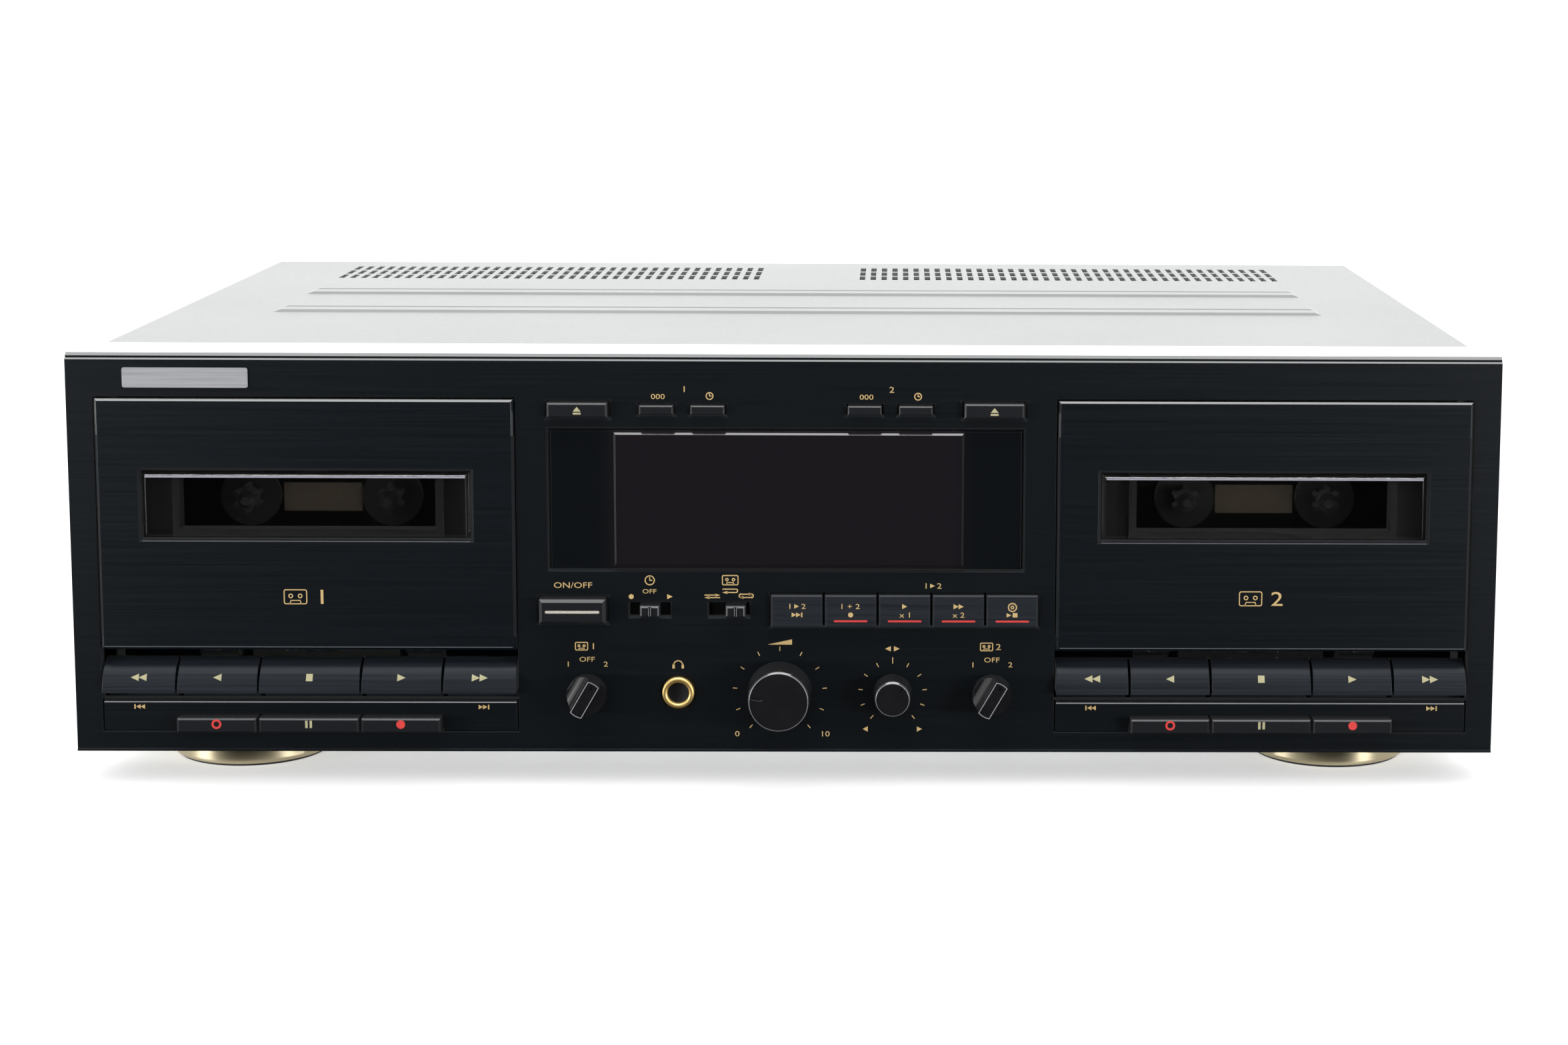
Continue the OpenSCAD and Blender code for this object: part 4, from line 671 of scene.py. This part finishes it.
for deck, x in WELLS.items():
    dress(f"door_{deck}", door_black, 0.12)
    dress(f"door_window_{deck}", window, 0.15)
    dress(f"cassette_holder_{deck}", abs_black, 0.2)
    # A pale bar along the top of each pane is a painted highlight of its top chamfer
    bm = bmesh.new()
    top = PANE_Z + PANE_H / 2 - PANE_CUT
    bar(bm, x, top - PANE_LINE / 2, PANE_W - 2 * PANE_CUT, PANE_LINE, PANE_Y)
    piece(f"pane_top_highlight_{deck}", bm, pane_top_highlight, f"tray_{deck}")
    # Grey bars along the lower edges of the plate and of its window's flare are painted reflections
    bm = bmesh.new()
    bar(bm, x, DOOR_LOW + DOOR_LINE / 2, 2 * DOOR_HALF, DOOR_LINE, DOOR_Y)
    bar(bm, x, FLARE_LOW - DOOR_LINE / 2, 2 * FLARE_HALF, DOOR_LINE, DOOR_Y)
    piece(f"door_edge_reflection_{deck}", bm, edge_reflection_grey, f"tray_{deck}")
    bm = bmesh.new()
    cassette(bm, x - 3.6, DOOR_MARK_Z, 6.6, 4.2, DOOR_Y)
    glyphs(bm, str(deck), x + 4.2, DOOR_MARK_Z, 4.2, DOOR_Y)
    bmesh.ops.remove_doubles(bm, verts=bm.verts, dist=DOUBLE * MM)
    piece(f"door_print_{deck}", bm, gold_ink, f"tray_{deck}")

# Transport keys: five to a deck, upright at the lower edge and rounded back above, with a printed sign.
# Moulded caps faced with brushed dark grey metal, each on a stem to its switch.
KEY_AXIS_Y, KEY_AXIS_Z, KEY_R = 7.8, 18.0, 10.2
SIGN_Z, SIGN_H, SIGN_CUTS = 22.65, 1.95, 6
ARROW_W, ARROW_STEP = 2.4, 2.3
KEY_SIGNS = {
    "rewind": (-50.2, -1, 2), "reverse": (-27.1, -1, 1), "stop": (0, 0, 0),
    "play": (27.1, 1, 1), "forward": (50.2, 1, 2)}

# Anodised key caps: dark grey, streaked along the width, with a soft gleam on the round
key_grey = brushed(
    "brushed_grey_anodised_key_cap", "#020406", "#23272d",
    rough=0.42, line=0.6, turn=0.2, gleam=0.13, low=0, high=0)
pale_ink = ink("screen_printed_pale_gold_ink", "#7a7557", "#918d6f")


def on_key(bm):
    """Lays a flat printed sign on the rounded face of a key."""
    for i in range(1, SIGN_CUTS):
        level = spot(0, 0, SIGN_Z + SIGN_H * (i / SIGN_CUTS - 0.5))
        whole = bm.verts[:] + bm.edges[:] + bm.faces[:]
        bmesh.ops.bisect_plane(bm, geom=whole, plane_co=level, plane_no=(0, 0, 1))
    for v in bm.verts:
        up = (v.co.z - panel_low.z) / MM - KEY_AXIS_Z
        v.co.y += (KEY_AXIS_Y - math.sqrt(KEY_R ** 2 - up ** 2)) * MM


for deck, x in WELLS.items():
    for key, (dx, way, count) in KEY_SIGNS.items():
        dress(f"{key}_key_{deck}", key_grey, 0.2)
        bm = bmesh.new()
        if not count:
            bar(bm, x, SIGN_Z, SIGN_H, SIGN_H, FACE_Y)
        for i in range(count):
            middle = x + dx + (i - (count - 1) / 2) * ARROW_STEP
            triangle(bm, middle, SIGN_Z, way * ARROW_W, SIGN_H, FACE_Y)
        on_key(bm)
        piece(f"{key}_sign_{deck}", bm, pale_ink, f"{key}_key_{deck}")

# Lower keys: record mute, pause and record in the strip below the transport keys.
# Moulded satin black caps, with a red ring, pale gold bars and a red dot printed on them.
LOWER_Y, LOWER_Z = -4.0, 9.2
MUTE_R, MUTE_LINE, DOT_R = 1.15, 0.6, 1.3
PAUSE_STEP, PAUSE_W, PAUSE_H = 0.65, 0.72, 2.2
red_ink = ink("screen_printed_red_ink", "#971c1b", "#b82b27")

# Satin black ABS: dark, fine-grained and even; the grain is drawn at 0.35 mm so that it shows
cap_black = mottled(
    "satin_moulded_black_abs", 0.35, "#0d0e11", "#15161a", {"IOR": 1.53, "Specular IOR Level": 0.3},
    rough=(0.3, 0.42), relief=(0.15, 0.02))

for deck, x in WELLS.items():
    for key, dx in (("rec_mute", -27.1), ("pause", 0), ("record", 27.1)):
        dress(f"{key}_key_{deck}", cap_black, 0.15)
        bm = bmesh.new()
        if key == "rec_mute":
            ring(bm, x + dx, LOWER_Z, MUTE_R, MUTE_LINE, LOWER_Y)
        elif key == "pause":
            for k in (-1, 1):
                bar(bm, x + k * PAUSE_STEP, LOWER_Z, PAUSE_W, PAUSE_H, LOWER_Y)
        else:
            prism(bm, circle(x + dx, LOWER_Z, DOT_R), LOWER_Y)
        colour = pale_ink if key == "pause" else red_ink
        piece(f"{key}_sign_{deck}", bm, colour, f"{key}_key_{deck}")

# Power, eject and counter buttons: plain caps in the panel's middle section.
# Satin black mouldings; a half-round bar is let into the power button's groove and painted silver,
# and the eject sign is printed.
POWER_Z, POWER_Y = 43.0, -3.6
BAR_HALF = 7.6
BAR_SECTION = ((0.44, 0.25), (0.44, 0.18), (0.32, 0.08), (0.12, 0.03))
silver_paint = ink("wiped_in_silver_paint", "#7f7b72", "#a39f95")
dress("power_button", cap_black, 0.15)


def stadium(x, z, half, r):
    """Outline of a bar with round ends."""
    return [p for k in (1, -1) for p in arc(x + k * half, z, r, 90 - k * 90, 270 - k * 90, 7)]


bm = bmesh.new()
rows = []
for r, behind_face in BAR_SECTION:
    outline = stadium(POWER_X, POWER_Z, BAR_HALF, r)
    rows.append([bm.verts.new(spot(x, POWER_Y + behind_face, z)) for x, z in outline])
for low, high in zip(rows, rows[1:]):
    for i in range(len(low)):
        bm.faces.new((low[i - 1], low[i], high[i], high[i - 1]))
bm.faces.new(rows[0])
bm.faces.new(rows[-1])
piece("power_bar", bm, silver_paint, "power_button")

EJECT_X, EJECT_Z, EJECT_Y = 61.0, 102.8, -2.2
EJECT_HALF, EJECT_TIP, EJECT_FOOT = 1.15, 1.1, -0.3
for deck, k in ((1, -1), (2, 1)):
    dress(f"eject_button_{deck}", cap_black, 0.15)
    dress(f"reset_button_{deck}", cap_black, 0.12)
    dress(f"time_button_{deck}", cap_black, 0.12)
    x = k * EJECT_X
    bm = bmesh.new()
    prism(bm, [(x - EJECT_HALF, EJECT_Z + EJECT_FOOT), (x + EJECT_HALF, EJECT_Z + EJECT_FOOT),
               (x, EJECT_Z + EJECT_TIP)], EJECT_Y)
    bar(bm, x, EJECT_Z - 0.9, 2 * EJECT_HALF, 0.55, EJECT_Y)
    piece(f"eject_sign_{deck}", bm, pale_ink, f"eject_button_{deck}")

# Mode buttons: five caps side by side, with two lines of gold print and a red bar on four of them.
# The same brushed dark grey facing as the transport keys, on moulded caps.
MODE_X = [3.05, 18.95, 34.9, 50.8, 66.7]
MODE_Y = -1.8
UPPER, LOWER, RED_Z = 44.55, 42.0, 40.1
RED_HALF, RED_R = 4.7, 0.27
LETTER, ARROW = 1.5, 1.4
for i, x in enumerate(MODE_X):
    body = f"mode_button_{i + 1}"
    dress(body, key_grey, 0.15)
    bm = bmesh.new()
    if i == 0:
        glyphs(bm, "1", x - 2, UPPER, LETTER, MODE_Y)
        triangle(bm, x, UPPER, ARROW, 1.3, MODE_Y)
        glyphs(bm, "2", x + 2, UPPER, LETTER, MODE_Y)
        triangle(bm, x - 0.8, LOWER, ARROW, ARROW, MODE_Y)
        triangle(bm, x + 0.5, LOWER, ARROW, ARROW, MODE_Y)
        bar(bm, x + 1.5, LOWER, 0.4, ARROW, MODE_Y)
    elif i == 1:
        glyphs(bm, "1 + 2", x, UPPER, LETTER, MODE_Y)
        prism(bm, circle(x, LOWER, 0.75, 16), MODE_Y)
    elif i < 4:
        for k in range(i - 1):
            triangle(bm, x + (k - (i - 2) / 2) * LETTER, UPPER, LETTER, LETTER, MODE_Y)
        glyphs(bm, f"x {i - 1}", x, LOWER, LETTER, MODE_Y)
    else:
        ring(bm, x, UPPER - 0.2, 1.2, 0.35, MODE_Y)
        ring(bm, x, UPPER - 0.2, 0.4, STROKE, MODE_Y)
        triangle(bm, x - 1, LOWER, ARROW, 1.3, MODE_Y)
        bar(bm, x + 0.8, LOWER, ARROW, 1.3, MODE_Y)
    bmesh.ops.remove_doubles(bm, verts=bm.verts, dist=DOUBLE * MM)
    piece(f"mode_print_{i + 1}", bm, gold_ink, body)
    if i:
        bm = bmesh.new()
        prism(bm, stadium(x, RED_Z, RED_HALF, RED_R), MODE_Y)
        piece(f"mode_bar_{i + 1}", bm, red_ink, body)

# Slide switches: timer and reverse mode, each a ridged cap that runs in a slot.
# Satin black mouldings, with painted highlights as bright lines along the edges of the cap and its ridge.
REVERSE_X = -15.0
SWITCH_Z, SWITCH_Y, RIDGE_Y = 42.8, -1.8, -2.2
CAP_HALF, CAP_UP, CAP_LINE = 2.5, 1.25, 0.16
RIDGE_AT, RIDGE_LINE = 0.3, 0.1
for name, x in (("timer_switch", TIMER_X), ("reverse_switch", REVERSE_X)):
    dress(name, cap_black, 0.12)
    low, high = SWITCH_Z - CAP_UP, SWITCH_Z + CAP_UP
    rim = [(x - CAP_HALF, low), (x - CAP_HALF, high), (x + CAP_HALF, high), (x + CAP_HALF, low)]
    # The pale lines round the cap and along its ridge are painted highlights
    bm = bmesh.new()
    band(bm, rim, CAP_LINE, SWITCH_Y)
    for k in (-1, 1):
        bar(bm, x + k * RIDGE_AT, SWITCH_Z, RIDGE_LINE, 2 * CAP_UP, RIDGE_Y)
    piece(f"{name}_edges", bm, plate_metal_and_highlights, name)

# Selector knobs: a round base with a bar left standing between two scoops.
# Glossy black ABS with a fine bright line round the bar's face, a painted highlight, pushed onto a shaft.
SELECTORS = {1: -58.9, 2: 60.9}
SELECTOR_Z, SELECTOR_Y, SELECTOR_TURN = 18.0, -9.5, 30.0
SELECTOR_HALF, SELECTOR_REACH, SELECTOR_LINE, SELECTOR_PROUD = 1.75, 5.5, 0.22, 0.03

# Glossy black ABS: deep black with a clear highlight and faint finger marks about 8 mm across
gloss_black = mottled(
    "gloss_moulded_black_abs", 8, "#0c0c0e", "#151517", {"IOR": 1.53}, rough=(0.1, 0.22), detail=4.0)

swing = math.degrees(math.asin(SELECTOR_HALF / SELECTOR_REACH))
ends = [arc(0, 0, SELECTOR_REACH, a - swing, a + swing, 5) for a in (0, 180)]
c, s = math.cos(math.radians(SELECTOR_TURN)), math.sin(math.radians(SELECTOR_TURN))
for number, x in SELECTORS.items():
    dress(f"nr_knob_{number}", gloss_black, 0.2)
    # The pale band round the bar's face is a painted highlight
    line = [(x + u * c + v * s, SELECTOR_Z - u * s + v * c) for u, v in ends[0] + ends[1]]
    bm = bmesh.new()
    band(bm, line, SELECTOR_LINE, SELECTOR_Y, closed=True, proud=SELECTOR_PROUD)
    piece(f"selector_highlight_{number}", bm, plate_metal_and_highlights, f"nr_knob_{number}")

# Record level and balance knobs: round, a little narrower in front, with a groove that points to the dial.
# Glossy black ABS with a bright turned rim on its front edge, partly a painted highlight, pushed onto a
# shaft.
RIM_SECTION = ((0.36, 0.21), (0.575, 0.004), (0.75, 0.3), (0.5, 0.6))

# Diamond-turned aluminium: a clean bright ring, partly a painted highlight of its cut edge, with tool marks
# about 0.3 mm across
rim_metal_and_highlight = mottled(
    "diamond_turned_aluminium_and_painted_highlight", 0.3, "#5f6062", "#797a7c", {"Metallic": 0.35}, rough=(0.32, 0.44))

for name, (x, z), r, length in (
        ("rec_level_knob", LEVEL_AT, 9.1, 11.7), ("rec_balance_knob", BALANCE_AT, 5.4, 8.5)):
    dress(name, gloss_black, 0.12)
    bm = bmesh.new()
    section = [(r - within, length - behind_front) for within, behind_front in RIM_SECTION]
    turned(bm, section, spot(x, FACE_Y, z), (0, -1, 0), 96)
    piece(f"{name}_rim", bm, rim_metal_and_highlight, name)

# Top cover: one sheet bent over the top and both sides, with two pressed beads and two blocks of vent slots.
# Satin paint on steel sheet, mid grey partly painted reflection, held by four screws at the sides and three
# at the rear.
COVER_INSIDE, COVER_BEND = 205.3, 120.0

# Satin paint: an even mid grey, partly a painted reflection of the bright room, that turns pale at a low
# angle, with an orange peel about 0.9 mm across and faint soiling over 90 mm; inside the sides is near black
# painted shade
cover_paint_and_reflection, tree, at = material("satin_paint_and_painted_reflection")
peel = add(tree, "ShaderNodeTexNoise", {"Vector": at, "Scale": 1 / (0.9 * MM), "Detail": 2.0})
soil = add(tree, "ShaderNodeTexNoise", {"Vector": at, "Scale": 1 / (90 * MM), "Detail": 5.0})
bump = add(tree, "ShaderNodeBump", {"Height": peel.outputs["Fac"], "Strength": 0.2, "Distance": 0.03 * MM})
# The mid grey is partly a painted reflection of the bright room
paint = add(tree, "ShaderNodeMix", {
    0: soil.outputs["Fac"], 6: linear("#6e7070"), 7: linear("#7e807f")}, data_type="RGBA")
# Inside faces of the sides are picked out by place and painted near black as painted shade
axes = add(tree, "ShaderNodeSeparateXYZ", {0: at})
span = add(tree, "ShaderNodeMath", {0: axes.outputs["X"]}, operation="ABSOLUTE")
within = add(tree, "ShaderNodeMath", {0: span.outputs[0], 1: COVER_INSIDE * MM}, operation="LESS_THAN")
below = add(tree, "ShaderNodeMath", {0: axes.outputs["Z"], 1: COVER_BEND * MM}, operation="LESS_THAN")
painted_inside_shade = add(tree, "ShaderNodeMath", {0: within.outputs[0], 1: below.outputs[0]}, operation="MULTIPLY")
tone = add(tree, "ShaderNodeMix", {
    0: painted_inside_shade.outputs[0], 6: paint.outputs[2], 7: linear("#161717")}, data_type="RGBA")
rough = add(tree, "ShaderNodeMapRange", {"Value": peel.outputs["Fac"], "To Min": 0.4, "To Max": 0.52})
skin = add(tree, "ShaderNodeBsdfPrincipled", {
    "Base Color": tone.outputs[2], "Roughness": rough.outputs[0], "IOR": 1.5, "Normal": bump.outputs[0]})
add(tree, "ShaderNodeOutputMaterial", {"Surface": skin.outputs[0]})
dress("top_cover", cover_paint_and_reflection, 0.25)

# Screws: cross-head screws at the cover's sides and rear, under the pan and under the feet.
# Blackened steel, thread-rolled.

# Blackened steel: a dull oily gleam, rubbed brighter in spots about 1.5 mm wide
black_screw = mottled(
    "blackened_rolled_steel", 1.5, "#1d1d1f", "#3a3a3c", {"Metallic": 0.8}, rough=(0.3, 0.5), detail=3.0)
dress("screws", black_screw, 0.2)

# Feet: four turned shells, each with a rubber pad let into its underside.
# Champagne-anodised aluminium, turned, and black nitrile rubber; a screw holds each to the pan.
PAD_T, PAD_SKIN = 0.7, 0.03
RUBBER_ROUGH = 0.8

# Anodised shell: pale gold with tool rings round it, drawn 0.4 mm apart; the pad is matt black
foot, tree, at = material("champagne_anodised_aluminium_with_rubber_pad")
axes = add(tree, "ShaderNodeSeparateXYZ", {0: at})
rubber = add(tree, "ShaderNodeMath", {
    0: axes.outputs["Z"], 1: (PAD_T - PAD_SKIN) * MM}, operation="LESS_THAN")
drawn = add(tree, "ShaderNodeMapping", {
    "Vector": at, "Scale": (1 / (40 * MM), 1 / (40 * MM), 1 / (0.4 * MM))})
rings = add(tree, "ShaderNodeTexNoise", {"Vector": drawn.outputs[0], "Scale": 1.0, "Detail": 2.0})
shade = add(tree, "ShaderNodeMix", {
    0: rings.outputs["Fac"], 6: linear("#aea386"), 7: linear("#c4ba9e")}, data_type="RGBA")
tone = add(tree, "ShaderNodeMix", {
    0: rubber.outputs[0], 6: shade.outputs[2], 7: linear("#141414")}, data_type="RGBA")
shell = add(tree, "ShaderNodeMath", {0: 1.0, 1: rubber.outputs[0]}, operation="SUBTRACT")
gloss = add(tree, "ShaderNodeMapRange", {"Value": rings.outputs["Fac"], "To Min": 0.3, "To Max": 0.4})
rough = add(tree, "ShaderNodeMix", {0: rubber.outputs[0], 2: gloss.outputs[0], 3: RUBBER_ROUGH})
skin = add(tree, "ShaderNodeBsdfPrincipled", {
    "Base Color": tone.outputs[2], "Metallic": shell.outputs[0], "Roughness": rough.outputs[0],
    "Anisotropic": 0.75, "Anisotropic Rotation": 0.25})
add(tree, "ShaderNodeOutputMaterial", {"Surface": skin.outputs[0]})
dress("feet", foot, 0.25)

# Studio: a pale seamless floor in a white room, a soft box overhead, a lit sheet behind and a strip lamp
# at each side; dark cards low in front are seen only in reflections, so that the black face keeps its depth.
# The overhead box leaves the floor out and the floor fill lights only the floor, so that the shadow is soft.
FLOOR_HALF = 20
CARD_HALF, CARD_FAR, CARD_TOP = 1.6, -2.5, 1.8
CARD_NEAR_HALF, CARD_NEAR, CARD_LOW, CARD_FOOT = 0.24, -0.125, 0.0005, 0.002
world = bpy.data.worlds.new("white_room")
world.use_nodes = True
world.node_tree.nodes["Background"].inputs["Color"].default_value = linear("#ffffff")
world.node_tree.nodes["Background"].inputs["Strength"].default_value = 1.08
bpy.context.scene.world = world
bpy.context.scene.view_settings.view_transform = "Standard"


def sheet(name, corners, finish):
    """Flat four-cornered sheet of the studio."""
    mesh = bpy.data.meshes.new(name)
    mesh.from_pydata(corners, [], [(0, 1, 2, 3)])
    mesh.materials.append(finish)
    made = bpy.data.objects.new(name, mesh)
    bpy.context.scene.collection.objects.link(made)
    return made


# Paper: matt and nearly white, with fibres about 3 mm long
floor_paper = mottled(
    "pale_studio_paper", 3, "#f6f6f6", "#fafafa", {"Roughness": 0.9, "Specular IOR Level": 0.1})
floor = sheet("floor", [
    (-FLOOR_HALF, -FLOOR_HALF, 0), (FLOOR_HALF, -FLOOR_HALF, 0),
    (FLOOR_HALF, FLOOR_HALF, 0), (-FLOOR_HALF, FLOOR_HALF, 0)], floor_paper)

# Felt: a black that gives almost nothing back, with a nap about 2 mm long
felt = mottled("black_felt", 2, "#050505", "#0a0a0a", {"Roughness": 1.0, "Specular IOR Level": 0.0})
for name, corners in (
        ("card_low", [
            (-CARD_HALF, CARD_FAR, CARD_LOW), (CARD_HALF, CARD_FAR, CARD_LOW),
            (CARD_NEAR_HALF, CARD_NEAR, CARD_LOW), (-CARD_NEAR_HALF, CARD_NEAR, CARD_LOW)]),
        ("card_high", [
            (-CARD_HALF, CARD_FAR, CARD_FOOT), (CARD_HALF, CARD_FAR, CARD_FOOT),
            (CARD_HALF, CARD_FAR, CARD_TOP), (-CARD_HALF, CARD_FAR, CARD_TOP)])):
    card = sheet(name, corners, felt)
    card.visible_camera = False
    card.visible_diffuse = False
    card.visible_shadow = False

for name, place, aim, size, watts, on_floor in (
        ("overhead_box", (0, -0.38, 1.3), (0, -0.14, 0.1), (1.3, 0.3), 18, "EXCLUDE"),
        ("floor_fill", (0, -2.4, 0.35), (0, 0, 0), (3, 0.5), 170, "INCLUDE"),
        ("rear_sheet", (0, 2.2, 0.6), (0, 0, 0.1), (5, 1.1), 34, None),
        ("left_strip", (-1.15, -0.6, 0.085), (0, -0.1, 0.02), (0.4, 0.16), 10, None),
        ("right_strip", (1.1, -0.95, 0.085), (0, -0.1, 0.02), (0.4, 0.16), 10, None)):
    lamp_data = bpy.data.lights.new(name, "AREA")
    lamp_data.shape = "RECTANGLE"
    lamp_data.size, lamp_data.size_y = size
    lamp_data.energy = watts
    lamp_data.use_shadow = name != "rear_sheet"
    lamp = bpy.data.objects.new(name, lamp_data)
    lamp.location = place
    lamp.visible_camera = False
    lamp.rotation_euler = (Vector(aim) - Vector(place)).to_track_quat("-Z", "Y").to_euler()
    bpy.context.scene.collection.objects.link(lamp)
    if on_floor:
        lit = bpy.data.collections.new(f"{name}_floor")
        lit.objects.link(floor)
        lit.collection_objects[0].light_linking.link_state = on_floor
        lamp.light_linking.receiver_collection = lit

# Camera: slightly above the deck and right of its middle, at the photograph's viewing angle.
# Its shift only frames the deck as the photograph does.
CAMERA_AT = (0.0325, -0.97645, 0.239)
CAMERA_TURNS = ((-0.865, "Z"), (82.321, "X"), (0.307, "Z"))
camera_data = bpy.data.cameras.new("camera")
camera_data.sensor_width = 36
camera_data.lens = 66.4
camera_data.shift_x = camera_data.shift_y = -0.0999
camera_data.clip_end = 100
camera = bpy.data.objects.new("camera", camera_data)
aimed = Matrix.Translation(CAMERA_AT)
for degrees, axis in CAMERA_TURNS:
    aimed = aimed @ Matrix.Rotation(math.radians(degrees), 4, axis)
camera.matrix_world = aimed
bpy.context.scene.collection.objects.link(camera)
bpy.context.scene.camera = camera
